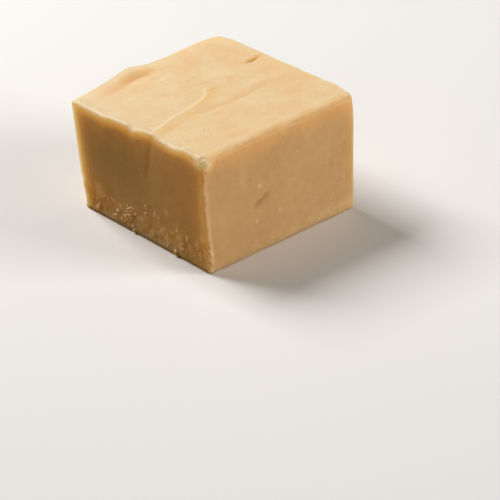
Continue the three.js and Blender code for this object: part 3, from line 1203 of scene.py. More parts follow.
@dataclass
class FudgeBlock:
    """The block itself: an even box of fudge made uneven by its pouring and cutting."""

    size: Triple = (32.0, 33.0, 20.8)
    near_left: Upright = Upright((-15.75, -16.1, 0.0), (-16.0, -16.2, 20.9), 0.1)
    near_right: Upright = Upright((14.9, -17.15, 0.0), (16.55, -16.95, 20.93), 0.45)
    far_left: Upright = Upright((-15.4, 16.55, 0.0), (-16.25, 16.65, 20.4), 0.0)
    far_right: Upright = Upright((15.4, 16.8, 0.0), (16.6, 17.25, 20.85), 1.1)
    soften_reach: float = 3.0
    foot_radius: float = 0.4
    head_radius: float = 0.5
    left_soften: float = 0.28
    near_soften: float = 0.95
    knob_soften: float = 0.7
    knob_reach: float = 2.0
    left_soften_begins: Pair = (0.0, 4.0)
    near_soften_begins: Pair = (1.0, 5.0)
    foot_softness: float = 0.3
    bend_clear: float = 2.3
    bend_fades: float = 8.0
    # Painted shade on the walls: along the seam, by the near right upright and in the dent.
    seam_shade: float = 0.3
    right_shade: float = 0.6
    right_shade_reach: float = 1.4
    # Painted highlight along the rim's edge: how strong, and where.
    rim_highlight_strength: float = 1.3
    rim_line: EdgeLine = EdgeLine(0.9, 1.1)
    scuff_paleness: float = 0.5
    crumbs: tuple[tuple[Triple, float, float], ...] = (
        ((-14.9, -15.3, 19.6), 1.7, 0.4),
        ((-16.0, -16.0, 19.9), 0.55, 0.3),
        ((-15.2, -16.4, 19.3), 0.45, 0.25),
        ((-16.3, -15.2, 20.3), 0.4, 0.22),
        ((-15.3, -15.6, 20.9), 0.5, 0.22),
        ((-16.0, -16.6, 18.6), 0.45, 0.25),
        ((-14.5, -16.5, 20.2), 0.4, 0.2),
        ((-16.6, -16.1, 19.1), 0.35, 0.2),
        ((-16.0, -16.3, 1.5), 0.6, 0.28),
        ((-16.2, -15.6, 2.3), 0.45, 0.2),
    )
    top: PouredTop = field(default_factory=PouredTop)
    walls: CutWalls = field(default_factory=CutWalls)
    lines: tuple[MeshLines, MeshLines, MeshLines] = (
        MeshLines(0.3, fine=((0.0, 2.2, 0.1),)),
        MeshLines(0.3, fine=((0.0, 2.2, 0.1), (12.8, 15.5, 0.14))),
        MeshLines(0.3, fine=((0.9, 6.5, 0.17), (18.4, 20.8, 0.1))),
    )

    def bend(self, q: Array) -> Array:
        """Bends the mesh lines that run along X so that one of them follows the fold.

        Args:
            q: Points of the even block.

        Returns:
            The points with their Y changed.
        """
        edge = self.bend_clear
        fold = self.top.fold
        row = self.size[1] / 2.0 + fold.row
        below = (q[:, 1] - edge) / (row - edge)
        above = (self.size[1] - edge - q[:, 1]) / (self.size[1] - edge - row)
        share = np.maximum(0.0, np.where(q[:, 1] < row, below, above))
        x = q[:, 0] - self.size[0] / 2.0
        past = ramp(self.bend_fades, 0.0, x - fold.end[0])
        bent = q.copy()
        bent[:, 1] += share * past * (fold.line(x) - fold.row)
        return bent

    def edge_radius(self, q: Array) -> Array:
        """Works out the radius of the block's edges.

        Args:
            q: Points of the even block.

        Returns:
            The radius near each of them.
        """
        up = q[:, 2] / self.size[2]
        extra = np.zeros(len(q))
        corners = {
            (0.0, 0.0): self.near_left,
            (1.0, 0.0): self.near_right,
            (0.0, 1.0): self.far_left,
            (1.0, 1.0): self.far_right,
        }
        for (right, far), upright in corners.items():
            away = np.hypot(q[:, 0] - right * self.size[0], q[:, 1] - far * self.size[1])
            extra += upright.soften * bell(away / self.soften_reach)
        from_far_left = np.hypot(q[:, 0], q[:, 1] - self.size[1])
        along_left = ramp(*self.left_soften_begins, from_far_left)
        extra += self.left_soften * bell(q[:, 0] / self.soften_reach) * along_left
        from_near_head = np.hypot(q[:, 1], self.size[2] - q[:, 2])
        along_near = ramp(*self.near_soften_begins, q[:, 0])
        extra += self.near_soften * bell(from_near_head / self.soften_reach) * along_near
        from_knob = np.hypot(np.hypot(q[:, 0], q[:, 1]), self.size[2] - q[:, 2])
        extra += self.knob_soften * bell(from_knob / self.knob_reach)
        softness = self.foot_softness + (1.0 - self.foot_softness) * up
        return lerp(self.foot_radius, self.head_radius, up) + extra * softness

    def round_off(self, q: Array) -> Array:
        """Rounds the even block's edges off.

        Args:
            q: Points on its faces.

        Returns:
            The points, drawn in towards the edges.
        """
        r = self.edge_radius(q)[:, None]
        core = np.clip(q, r, np.array(self.size) - r)
        away = q - core
        return core + r * away / np.linalg.norm(away, axis=1, keepdims=True)

    def lean(self, p: Array) -> Array:
        """Carries points to the uneven block, whose uprights lean and differ in height.

        Args:
            p: Points of the even block.

        Returns:
            The same points on the uneven one.
        """
        share = p / np.array(self.size)
        near = lerp(self.near_left.at(share[:, 2]), self.near_right.at(share[:, 2]), share[:, :1])
        far = lerp(self.far_left.at(share[:, 2]), self.far_right.at(share[:, 2]), share[:, :1])
        return lerp(near, far, share[:, 1:2])

    def relief(self, points: Array, even: Array) -> Array:
        """Adds the top's marks, the walls' relief and the clinging crumbs.

        Args:
            points: Points of the uneven block.
            even: Where they were on the even block.

        Returns:
            The finished points.
        """
        size = np.array(self.size)
        x, y = even[:, 0] - size[0] / 2.0, even[:, 1] - size[1] / 2.0
        z = even[:, 2]
        walls, rim = self.walls, self.top.rim
        top_share = ramp(size[2] - self.top.reach, size[2], z)
        begun = ramp(0.0, walls.sets_in, z)
        share_x, share_y = even[:, 0] / size[0], even[:, 1] / size[1]
        in_x = walls.drawn_in * 4.0 * share_y * (1.0 - share_y)
        in_y = walls.drawn_in * 4.0 * share_x * (1.0 - share_x)
        on_left, on_right = ramp(walls.reach, 0.0, even[:, 0]), ramp(walls.reach, 0.0, size[0] - even[:, 0])
        on_near, on_far = ramp(walls.reach, 0.0, even[:, 1]), ramp(walls.reach, 0.0, size[1] - even[:, 1])
        left, right = walls.left(y, z) * begun - in_x, walls.swell(y, z, 3) * begun - in_x
        near, far = walls.near(x, z) * begun - in_y, walls.swell(x, z, 4) * begun - in_y
        done = points.copy()
        done[:, 0] += right * on_right - left * on_left
        done[:, 1] += far * on_far - near * on_near
        done[:, 1] += rim.bulge * rim.share(x) * top_share * on_far
        done[:, 2] += self.top.height(x, y, size) * top_share
        for middle, crumb_reach, rise in self.crumbs:
            out = done - np.array(middle)
            away = np.linalg.norm(out, axis=1, keepdims=True)
            done += rise * bell(away / crumb_reach) * out / away
        return done

    def masks(self, even: Array) -> dict[str, Array]:
        """Works out what each point of the surface is, for the finish to read.

        Args:
            even: The points on the even block.

        Returns:
            A value from 0 to 1 for each point, by attribute name.
        """
        skin, top, walls = Skin(self.size), self.top, self.walls
        x, y, z = even[:, 0] - self.size[0] / 2.0, even[:, 1] - self.size[1] / 2.0, even[:, 2]
        on_top, on_left, on_near = skin.crust(even), skin.wall(even[:, 0]), skin.wall(even[:, 1])
        torn = walls.torn_band(y, z) * on_left
        from_right, from_far = self.size[0] - even[:, 0], self.size[1] - even[:, 1]
        # Painted shade: darker colour in the near wall's dent, by its right upright and along the left wall's
        # seam.
        by_right = self.right_shade * bell(from_right / self.right_shade_reach) * (1.0 - on_top)
        wall_shades = (walls.dented(x, z) + by_right) * on_near + self.seam_shade * walls.seamed(y, z) * on_left
        rim_edge = self.rim_highlight_strength * top.rim.share(x) * self.rim_line.near(from_far)
        return {
            "crust": on_top,
            # Partly dry crust, partly painted highlight along the edges.
            "dry_edge": np.clip(np.maximum(skin.dry_edges_and_highlights(even), skin.dry_corner(even)), 0.0, 1.0),
            "torn": torn,
            # Partly a frayed foot, partly painted light from below.
            "frayed": walls.frayed(x, z) * on_near,
            # Painted shade in the top's fold, crease, gouge and rim hollow.
            "moist": top.moist(x, y) * on_top,
            "stained": wall_shades,
            # Painted highlight on the fold's crest and the rim's edge.
            "lip": np.clip(top.fold.lip(x, y) + rim_edge, 0.0, 1.0) * on_top,
            "glow": skin.glow(even, torn),
            # Painted glow under the top and by the uprights.
            "rind": skin.rind(even),
            "damp": walls.damp.height(y, z) * on_left,
            "shade": top.shade(x, y) * on_top + self.scuff_paleness * walls.scuffed(x, z) * on_near,
            "flecked": walls.flecked(y, z) * on_left,
            "specked": top.specked(x, y) * on_top,
            "crumbly": skin.crumbly(even),
            "knobbly": skin.knobbly(even),
        }

    def build(self) -> bpy.types.Object:
        """Makes the block's mesh, with its masks as attributes.

        Returns:
            The block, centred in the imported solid's box and standing on the floor.
        """
        spaced = [lines.places(length) for lines, length in zip(self.lines, self.size)]
        grid, quads = shell_grid([len(line) - 1 for line in spaced])
        q = np.stack([line[grid[:, axis]] for axis, line in enumerate(spaced)], -1)
        even = self.round_off(self.bend(q))
        points = self.relief(self.lean(even), even) * MM
        low, high = (np.array(corner) for corner in CAD_BOX)
        middle = (points.min(0) + points.max(0)) / 2.0
        points[:, :2] += ((low + high) / 2.0 - middle)[:2]
        mesh = bpy.data.meshes.new("fudge_block")
        mesh.vertices.add(len(points))
        mesh.vertices.foreach_set("co", points.ravel())
        mesh.loops.add(quads.size)
        mesh.loops.foreach_set("vertex_index", quads.ravel())
        mesh.polygons.add(len(quads))
        mesh.polygons.foreach_set("loop_start", np.arange(0, quads.size, 4))
        mesh.polygons.foreach_set("use_smooth", np.ones(len(quads), bool))
        mesh.update(calc_edges=True)
        for name, values in self.masks(even).items():
            mesh.attributes.new(name, "FLOAT", "POINT").data.foreach_set("value", values.astype(np.float32))
        places = mesh.attributes.new("place", "FLOAT_VECTOR", "POINT")
        places.data.foreach_set("vector", (points / MM).astype(np.float32).ravel())
        return add_object("fudge_block", mesh)


# ---- What the surface grows: its fine relief and its crumbs ----


@dataclass(frozen=True)
class Lumps:
    """Fine lumps of one kind: how deep and how wide they are, and how they are drawn out."""

    depth: float
    size: float
    stretch: Triple = (1.0, 1.0, 1.0)
    detail: float = 2.0
    roughness: float = 0.6

    def wired(self, wire: Wiring, place: Socket, size: Socket) -> Socket:
        """Adds the lumps to a tree.

        Args:
            wire: The tree's wiring.
            place: Where they are read.
            size: The tree's input for how wide they are.

        Returns:
            Their height from -1 to 1.
        """
        value = wire.noise(wire.stretched(place, self.stretch), wire.pitch(size), self.detail, self.roughness)
        return wire.ramp(value, 0.25, 0.75, (-1.0, 1.0))


@dataclass
class SurfaceRelief:
    """The fine relief of the block, as a Geometry Nodes tree that moves its points in and out."""

    torn: Lumps = Lumps(0.12, 0.8, (1.0, 1.0, 0.6), 3.0)
    edge: Lumps = Lumps(0.12, 0.8)
    knob: Lumps = Lumps(0.09, KNOB_SIZE)
    knob_crack: float = 0.3
    knob_heights: Pair = (-0.45, 0.55)
    drag: Lumps = Lumps(0.02, 1.6, (1.0, 1.0, 0.25))
    stroke: Lumps = Lumps(0.02, 0.7, (0.12, 1.0, 1.0))
    off_floor: Pair = (0.3, 1.1)

    def sizes(self) -> dict[str, float]:
        """Lists each kind's depth and size.

        Returns:
            The sizes in metres, by the name of the tree's input for each.
        """
        kinds = {
            "Torn": self.torn,
            "Edge": self.edge,
            "Knob": self.knob,
            "Drag": self.drag,
            "Stroke": self.stroke,
        }
        depths = {f"{name} Depth": lumps.depth * MM for name, lumps in kinds.items()}
        return {**depths, **{f"{name} Size": lumps.size * MM for name, lumps in kinds.items()}}

    def tree(self) -> NodeTree:
        """Wires the tree.

        Returns:
            A tree with a named input for each size, in metres.
        """
        inputs = {"Geometry": SocketKind.GEOMETRY, **self.sizes(), "Material": SocketKind.MATERIAL}
        wire = new_group("surface_relief", GroupKind.GEOMETRY, inputs, "Geometry")
        given = wire.node("NodeGroupInput").outputs
        place = wire.node("GeometryNodeInputPosition").outputs[0]
        normal = wire.node("GeometryNodeInputNormal").outputs[0]
        crust = wire.mask("crust")
        warped = wire.warped(place, KNOB_WARP_PITCH / MM, KNOB_WARP * MM)
        cells = wire.cells(warped, given["Knob Size"], "DISTANCE_TO_EDGE")
        knobs = wire.ramp(cells["Distance"], 0.0, self.knob_crack, self.knob_heights)
        layers = (
            ("Torn", wire.mask("torn"), self.torn.wired(wire, place, given["Torn Size"])),
            ("Edge", wire.mask("crumbly"), self.edge.wired(wire, place, given["Edge Size"])),
            ("Knob", wire.mask("knobbly"), knobs),
            ("Drag", wire.rest(crust), self.drag.wired(wire, warped, given["Drag Size"])),
            ("Stroke", crust, self.stroke.wired(wire, warped, given["Stroke Size"])),
        )
        shifts = [wire.product(mask, given[f"{name} Depth"], lumps) for name, mask, lumps in layers]
        up = wire.node("ShaderNodeSeparateXYZ", {0: place}).outputs[2]
        off_floor = wire.ramp(up, *(height * MM for height in self.off_floor))
        offset = wire.scaled(normal, wire.product(wire.added(*shifts), off_floor))
        moved = wire.node("GeometryNodeSetPosition", {"Geometry": given["Geometry"], "Offset": offset})
        return wire.put_out_dressed(moved.outputs[0], given["Material"])

    def lay_on(self, block: bpy.types.Object, material: bpy.types.Material) -> None:
        """Gives a block its fine relief and its finish.

        Args:
            block: The block, which gets the relieved mesh in place of its own.
            material: The finish of the whole block.
        """
        mesh = apply_tree(block, self.tree(), {**self.sizes(), "Material": material})
        mesh.name = "fudge_block"
        old, block.data = block.data, mesh
        bpy.data.meshes.remove(old)


class CrumbKind(Enum):
    """The kinds of loose bit that cling to the block, by the mask that they gather on."""

    FLECK = "flecked"
    GRIT = "torn"
    EDGE = "crumbly"
    SPECK = "specked"
    FRAY = "frayed"


@dataclass
class Crumbs:
    """Small crumbs of one kind, scattered over the block where its mask says."""

    kind: CrumbKind
    spacing: float
    crowding: float
    thinning: float
    smallest: float
    largest: float
    stretch: Triple
    seed: int
    detail: int = 1
    mask_ends: Pair = (0.3, 0.8)
    patch_size: float = 1.0 / 0.6
    patch_edge: float = 0.15
    off_floor: Pair = (0.4, 0.9)
    lumps: float = 1.3
    lumpiness: float = 0.35
    turn: float = 0.5

    def sizes(self) -> dict[str, float | int | Triple]:
        """Lists the values of the tree's own inputs.

        Returns:
            The values, by name.
        """
        return {
            "Spacing": self.spacing * MM,
            "Crowding": self.crowding,
            "Thinning": self.thinning,
            "Smallest": self.smallest * MM,
            "Largest": self.largest * MM,
            "Stretch": self.stretch,
            "Seed": self.seed,
        }

    def tree(self) -> NodeTree:
        """Wires the tree that scatters the crumbs.

        Returns:
            A tree with named inputs for the crumbs' spacing, sizes and seed.
        """
        inputs = {"Geometry": SocketKind.GEOMETRY, **self.sizes(), "Material": SocketKind.MATERIAL}
        wire = new_group(f"crumbs_on_{self.kind.value}", GroupKind.GEOMETRY, inputs, "Geometry")
        given = wire.node("NodeGroupInput").outputs
        place = wire.node("GeometryNodeInputPosition").outputs[0]
        up = wire.node("ShaderNodeSeparateXYZ", {0: place}).outputs[2]
        thin = wire.math("ADD", given["Thinning"], self.patch_edge)
        patches = wire.ramp(wire.noise(place, wire.pitch(self.patch_size * MM), 1.0), given["Thinning"], thin)
        wanted = wire.product(
            wire.ramp(wire.mask(self.kind.value), *self.mask_ends),
            patches,
            wire.ramp(up, *(height * MM for height in self.off_floor)),
        )
        spread = wire.node(
            "GeometryNodeDistributePointsOnFaces",
            {
                "Mesh": given["Geometry"],
                "Distance Min": given["Spacing"],
                "Density Max": wire.math("MULTIPLY", given["Crowding"], 1.0 / MM**2),
                "Density Factor": wanted,
                "Seed": given["Seed"],
            },
            distribute_method="POISSON",
        )
        ball = wire.node("GeometryNodeMeshIcoSphere", {"Radius": 1.0, "Subdivisions": self.detail})
        body = wire.node("GeometryNodeInputPosition").outputs[0]
        lumpy = wire.ramp(wire.noise(body, self.lumps, 2.0), 0.3, 0.7, (-self.lumpiness, self.lumpiness))
        shape = {"Geometry": ball.outputs[0], "Offset": wire.scaled(body, lumpy)}
        crumb = wire.node("GeometryNodeSetPosition", shape).outputs[0]
        sizes = {2: given["Smallest"], 3: given["Largest"], "Seed": given["Seed"]}
        size = wire.node("FunctionNodeRandomValue", sizes, data_type="FLOAT").outputs[1]
        turns = {0: (-self.turn,) * 3, 1: (self.turn,) * 3, "Seed": given["Seed"]}
        turn = wire.node("FunctionNodeRandomValue", turns, data_type="FLOAT_VECTOR").outputs[0]
        scale = wire.scaled(given["Stretch"], size)
        planting = {"Points": spread.outputs["Points"], "Instance": crumb, "Rotation": turn, "Scale": scale}
        planted = wire.node("GeometryNodeInstanceOnPoints", planting)
        return wire.put_out_dressed(planted.outputs[0], given["Material"])

    def scatter(self, block: bpy.types.Object, material: bpy.types.Material) -> bpy.types.Object:
        """Scatters the crumbs over a block.

        Args:
            block: The block with its masks.
            material: The crumbs' finish.

        Returns:
            One piece that holds every crumb of this kind.
        """
        mesh = apply_tree(block, self.tree(), {**self.sizes(), "Material": material})
        mesh.name = f"crumbs_{self.kind.name.lower()}"
        return add_object(mesh.name, mesh)


# ---- Finishes ----


class Effect(Enum):
    """The effects that the finishes share."""

    MOTTLE = "cooked_mottle"
    GRAIN = "sugar_grain"
    STREAKS = "drawn_streaks"
    SPECKS = "scattered_specks"
    SCRATCHES = "knife_scratches"


@dataclass
class Effects:
    """The shader node groups, each built once. They read places in millimetres."""

    groups: dict[Effect, NodeTree] = field(default_factory=dict)

    def build(self) -> None:
        """Builds every group."""
        makers: dict[Effect, Callable[[], NodeTree]] = {
            Effect.MOTTLE: self.mottle,
            Effect.GRAIN: self.grain,
            Effect.STREAKS: self.streaks,
            Effect.SPECKS: self.specks,
            Effect.SCRATCHES: self.scratches,
        }
        for effect, maker in makers.items():
            self.groups[effect] = maker()

    def use(self, wire: Wiring, effect: Effect, place: Socket, **inputs: Value) -> Socket:
        """Places a group in a material.

        Args:
            wire: The material's wiring.
            effect: Which group.
            place: Where it is read.
            **inputs: The group's other inputs by name, with underscores for spaces.

        Returns:
            The group's output.
        """
        node = wire.node("ShaderNodeGroup", {"Place": place}, node_tree=self.groups[effect])
        for name, value in inputs.items():
            wire.put(node.inputs[name.replace("_", " ")], value)
        return node.outputs[0]

    @staticmethod
    def mottle() -> NodeTree:
        """Wires soft clouds of two sizes, for colour that cooked unevenly.

        Returns:
            The finished group.
        """
        inputs = {"Place": SocketKind.VECTOR, "Patch Size": 6.0, "Contrast": 1.0}
        wire = new_group(Effect.MOTTLE.value, GroupKind.SHADER, inputs, "Mask")
        given = wire.node("NodeGroupInput").outputs
        pitch = wire.pitch(given["Patch Size"])
        wide = wire.noise(given["Place"], pitch, 2.0, 0.45)
        small = wire.noise(given["Place"], wire.math("MULTIPLY", pitch, 4.3), 3.0, 0.6)
        both = wire.added(wire.product(wide, 0.68), wire.product(small, 0.32))
        contrast = wire.product(given["Contrast"], 3.0)
        centred = wire.product(wire.math("SUBTRACT", both, 0.5), contrast)
        return wire.put_out("Mask", wire.math("ADD", centred, 0.5, clamp=True))

    @staticmethod
    def grain() -> NodeTree:
        """Wires the fine sugar grain, as a height from 0 to 1.

        Returns:
            The finished group.
        """
        inputs = {"Place": SocketKind.VECTOR, "Grain Size": 0.2}
        wire = new_group(Effect.GRAIN.value, GroupKind.SHADER, inputs, "Height")
        given = wire.node("NodeGroupInput").outputs
        soft = wire.noise(given["Place"], wire.pitch(given["Grain Size"]), 3.0, 0.65)
        cells = wire.cells(given["Place"], given["Grain Size"], "SMOOTH_F1")
        return wire.put_out("Height", wire.added(wire.product(soft, 0.7), wire.product(cells[0], 0.3)))

    @staticmethod
    def streaks() -> NodeTree:
        """Wires streaks that are drawn out along one direction, given as the place's stretch.

        Returns:
            The finished group.
        """
        inputs = {"Place": SocketKind.VECTOR, "Stretch": (1.0, 1.0, 1.0), "Width": 1.0}
        wire = new_group(Effect.STREAKS.value, GroupKind.SHADER, inputs, "Mask")
        given = wire.node("NodeGroupInput").outputs
        drawn = wire.stretched(given["Place"], given["Stretch"])
        value = wire.noise(drawn, wire.pitch(given["Width"]), 3.0, 0.55)
        return wire.put_out("Mask", wire.ramp(value, 0.3, 0.7))

    @staticmethod
    def specks() -> NodeTree:
        """Wires small specks, scattered so that only some cells hold one.

        Returns:
            The finished group.
        """
        inputs = {"Place": SocketKind.VECTOR, "Spacing": 2.0, "Radius": 0.15, "Share": 0.3}
        wire = new_group(Effect.SPECKS.value, GroupKind.SHADER, inputs, "Mask")
        given = wire.node("NodeGroupInput").outputs
        cells = wire.cells(wire.warped(given["Place"], 2.5, 0.25), given["Spacing"], "F1")
        away = wire.product(cells["Distance"], given["Spacing"])
        inside = wire.rest(wire.math("DIVIDE", away, given["Radius"]))
        chance = wire.node("ShaderNodeSeparateColor", {0: cells["Color"]}).outputs[0]
        kept = wire.math("LESS_THAN", chance, given["Share"])
        return wire.put_out("Mask", wire.product(wire.ramp(inside, 0.0, 0.6), kept))

    @staticmethod
    def scratches() -> NodeTree:
        """Wires thin broken lines, drawn out along one direction, given as the place's stretch.

        Returns:
            The finished group.
        """
        inputs = {"Place": SocketKind.VECTOR, "Stretch": (0.2, 1.0, 1.0), "Width": 1.0, "Thinness": 0.02}
        wire = new_group(Effect.SCRATCHES.value, GroupKind.SHADER, inputs, "Mask")
        given = wire.node("NodeGroupInput").outputs
        drawn = wire.stretched(given["Place"], given["Stretch"])
        value = wire.noise(drawn, wire.pitch(given["Width"]))
        off = wire.math("ABSOLUTE", wire.math("SUBTRACT", value, 0.5))
        line = wire.rest(wire.math("DIVIDE", off, given["Thinness"]))
        patches = wire.ramp(wire.noise(given["Place"], 0.45), 0.52, 0.62)
        return wire.put_out("Mask", wire.product(line, patches))


@dataclass(frozen=True)
class FudgeFinish:
    """The block's finish: a pale satin crust on top, and moister, deeper walls."""

    crust_pale: Colour = (0.97, 0.745, 0.475)
    crust_deep: Colour = (0.885, 0.59, 0.29)
    cut_pale: Colour = (0.685, 0.465, 0.235)
    cut_deep: Colour = (0.585, 0.365, 0.16)
    # Painted glow of light shining through the block's edges.
    rind: Colour = (0.96, 0.56, 0.195)
    # Painted shade: the deeper colour laid in the top's fold, crease, gouge, rim hollow and dips.
    moist: Colour = (0.87, 0.56, 0.165)
    # Paler colour for frayed and torn places, partly painted light from below.
    frayed: Colour = (0.88, 0.585, 0.275)
    damp: Colour = (0.43, 0.325, 0.17)
    # Pale cream: the crust's dry colour, also laid as painted highlight on edges and crests.
    cream_and_highlight: Colour = (1.0, 0.745, 0.48)
    # Laid as painted shade in dents, seams, cracks and torn pockets, and in the knife scratches.
    shade_and_scratch_brown: Colour = (0.46, 0.24, 0.08)
    speck_dark: Colour = (0.36, 0.18, 0.06)
    speck_light: Colour = (0.93, 0.78, 0.55)
    shine_depth: Pair = (3.5, 9.5)
    shine_spread: Triple = (0.86, 0.86, 0.75)
    chalkiness: float = 0.85
    lip_chalkiness: float = 0.6
    roughness: Pair = (0.5, 0.62)
    refraction: float = 1.45
    specular: float = 0.4
    scratch_angle: float = 0.9
    # Painted shade in the cracks between the clinging crumb's lumps: where it starts and where it is full.
    crack_shade_width: Pair = (0.1, 0.02)
    masks: tuple[str, ...] = (
        "crust", "dry_edge", "torn", "frayed", "moist", "lip", "shade",
        "rind", "glow", "knobbly", "stained", "flecked", "damp",
    )

    def patterns(self, wire: Wiring, effects: Effects, masks: dict[str, Socket]) -> dict[str, Socket]:
        """Adds the patterns that the colours and the bump are made from.

        Args:
            wire: The material's wiring.
            effects: The shared effects.
            masks: The block's own masks.

        Returns:
            Each pattern's output by name.
        """
        place = wire.place()
        tilt = {"Vector": place, "Axis": (0.0, 1.0, 0.0), "Angle": self.scratch_angle}
        tilted = wire.node("ShaderNodeVectorRotate", tilt, rotation_type="AXIS_ANGLE").outputs[0]
        scratch = {"Stretch": (0.3, 1.0, 1.0), "Width": 2.2, "Thinness": 0.02}
        scratched = effects.use(wire, Effect.SCRATCHES, tilted, **scratch)
        rest = wire.node("ShaderNodeAttribute", attribute_name="place").outputs["Vector"]
        cells = wire.cells(wire.warped(rest, KNOB_WARP_PITCH, KNOB_WARP), KNOB_SIZE, "DISTANCE_TO_EDGE")
        speck = effects.use(wire, Effect.SPECKS, place, Spacing=1.9, Radius=0.2, Share=0.4)
        bare = wire.math("SUBTRACT", 1.0, wire.product(masks["crust"], 0.85))
        return {
            "clouds": effects.use(wire, Effect.MOTTLE, place, Patch_Size=7.0, Contrast=1.0),
            "dapple": effects.use(wire, Effect.MOTTLE, place, Patch_Size=1.5, Contrast=0.9),
            "patches": effects.use(wire, Effect.MOTTLE, place, Patch_Size=3.2, Contrast=1.3),
            "strokes": effects.use(wire, Effect.STREAKS, place, Stretch=(0.1, 1.0, 1.0), Width=1.3),
            "drags": effects.use(wire, Effect.STREAKS, place, Stretch=(1.0, 1.0, 0.12), Width=1.1),
            "flakes": effects.use(wire, Effect.STREAKS, place, Stretch=(1.0, 1.0, 0.6), Width=0.7),
            "grain": effects.use(wire, Effect.GRAIN, place, Grain_Size=0.22),
            "coarse": effects.use(wire, Effect.GRAIN, place, Grain_Size=0.55),
            "dark": wire.product(speck, bare),
            "light": effects.use(wire, Effect.SPECKS, place, Spacing=1.6, Radius=0.2, Share=0.25),
            "scratch": wire.product(scratched, wire.rest(masks["crust"])),
            # Painted shade: darker colour in the cracks between the knob's lumps.
            "crack_shade": wire.product(wire.ramp(cells["Distance"], *self.crack_shade_width), masks["knobbly"]),
        }

    def colour(self, wire: Wiring, masks: dict[str, Socket], patterns: dict[str, Socket]) -> Socket:
        """Lays the colours on one another, from the fudge itself to the specks in it.

        Args:
            wire: The material's wiring.
            masks: The block's own masks.
            patterns: The patterns by name.

        Returns:
            The colour of the surface.
        """
        clouds, dapple, coarse, flakes = (patterns[name] for name in ("clouds", "dapple", "coarse", "flakes"))
        torn, cream_and_highlight, shade = masks["torn"], masks["dry_edge"], masks["shade"]
        streaked = wire.total((clouds, 0.35), (patterns["patches"], 0.5), (patterns["strokes"], 0.15))
        dragged = wire.total((clouds, 0.5), (dapple, 0.44), (patterns["drags"], 0.06))
        top = wire.blend(streaked, self.crust_deep, self.crust_pale)
        wall = wire.blend(dragged, self.cut_deep, self.cut_pale)
        # A darker olive patch on the upper middle of the left wall.
        wall = wire.blend(masks["damp"], wall, self.damp)
        # Painted glow under the top and by the uprights.
        wall = wire.blend(wire.product(masks["rind"], 0.8), wall, self.rind)
        colour = wire.blend(masks["crust"], wall, top)
        layers = (
            (wire.math("MULTIPLY", shade, 1.1, clamp=True), self.cream_and_highlight),
            # Painted shade in the top's small dips.
            (wire.math("MULTIPLY", shade, -0.5, clamp=True), self.moist),
            # Painted shade in the top's fold, crease, gouge and rim hollow.
            (wire.product(masks["moist"], 0.8), self.moist),
            # Painted shade in the dent, along the seam and by the near right upright.
            (wire.product(masks["stained"], 0.42), self.shade_and_scratch_brown),
            # Painted highlight on the fold's crest and the rim's edge.
            (wire.product(masks["lip"], 0.6), self.cream_and_highlight),
            # Partly painted light: the torn band low on the left wall is laid paler.
            (wire.product(torn, 0.55), self.frayed),
            # Painted shade in the pockets between the torn band's flakes.
            (wire.product(torn, wire.ramp(flakes, 0.35, 0.1), 0.25), self.shade_and_scratch_brown),
            (wire.product(torn, wire.ramp(flakes, 0.68, 0.95), 0.4), self.cream_and_highlight),
            (wire.product(masks["flecked"], wire.ramp(coarse, 0.3, 0.5), 0.7), self.cream_and_highlight),
            # Partly painted light from below on the near wall's foot.
            (wire.product(masks["frayed"], wire.ramp(coarse, 0.3, 0.55), 0.5), self.frayed),
            # Partly dry crust, partly painted highlight along the edges.
            (wire.product(cream_and_highlight, wire.ramp(coarse, 0.15, 0.45), 0.85), self.cream_and_highlight),
            (wire.product(masks["knobbly"], 0.6), self.cream_and_highlight),
            # Painted shade in the knob's cracks.
            (wire.product(patterns["crack_shade"], 0.25), self.shade_and_scratch_brown),
            (wire.product(patterns["scratch"], 0.22), self.shade_and_scratch_brown),
            (wire.product(patterns["dark"], 0.55), self.speck_dark),
            (wire.product(patterns["light"], 0.45), self.speck_light),
        )
        for share, laid in layers:
            colour = wire.blend(share, colour, laid)
        return colour

    def height(self, wire: Wiring, masks: dict[str, Socket], patterns: dict[str, Socket]) -> Socket:
        """Wires the height of the surface's finest relief.

        Args:
            wire: The material's wiring.
            masks: The block's masks, by name.
            patterns: The patterns, by name.

        Returns:
            The height in millimetres.
        """
        grain, dapple, dark = patterns["grain"], patterns["dapple"], patterns["dark"]
        crumbling = wire.total((masks["torn"], 0.16), (masks["dry_edge"], 0.09), (masks["frayed"], 0.06))
        crumbled = wire.product(patterns["coarse"], crumbling)
        scratch = patterns["scratch"]
        return wire.total((grain, 0.03), (dapple, 0.035), (crumbled, 1.0), (dark, -0.07), (scratch, -0.03))

    def depth(self, wire: Wiring, masks: dict[str, Socket]) -> Socket:
        """Wires how deep light shines into the surface: least where it is dry.

        Args:
            wire: The material's wiring.
            masks: The block's masks, by name.

        Returns:
            The depth in metres.
        """
        cream_and_highlight = (masks["dry_edge"], self.chalkiness)
        lip = (masks["lip"], self.lip_chalkiness * self.chalkiness)
        chalky = wire.math("MAXIMUM", wire.total(cream_and_highlight, lip, (masks["knobbly"], -self.lip_chalkiness)), 0.0)
        deep = wire.ramp(masks["glow"], 0.0, 1.0, tuple(d * MM for d in self.shine_depth))
        return wire.product(deep, wire.rest(chalky))

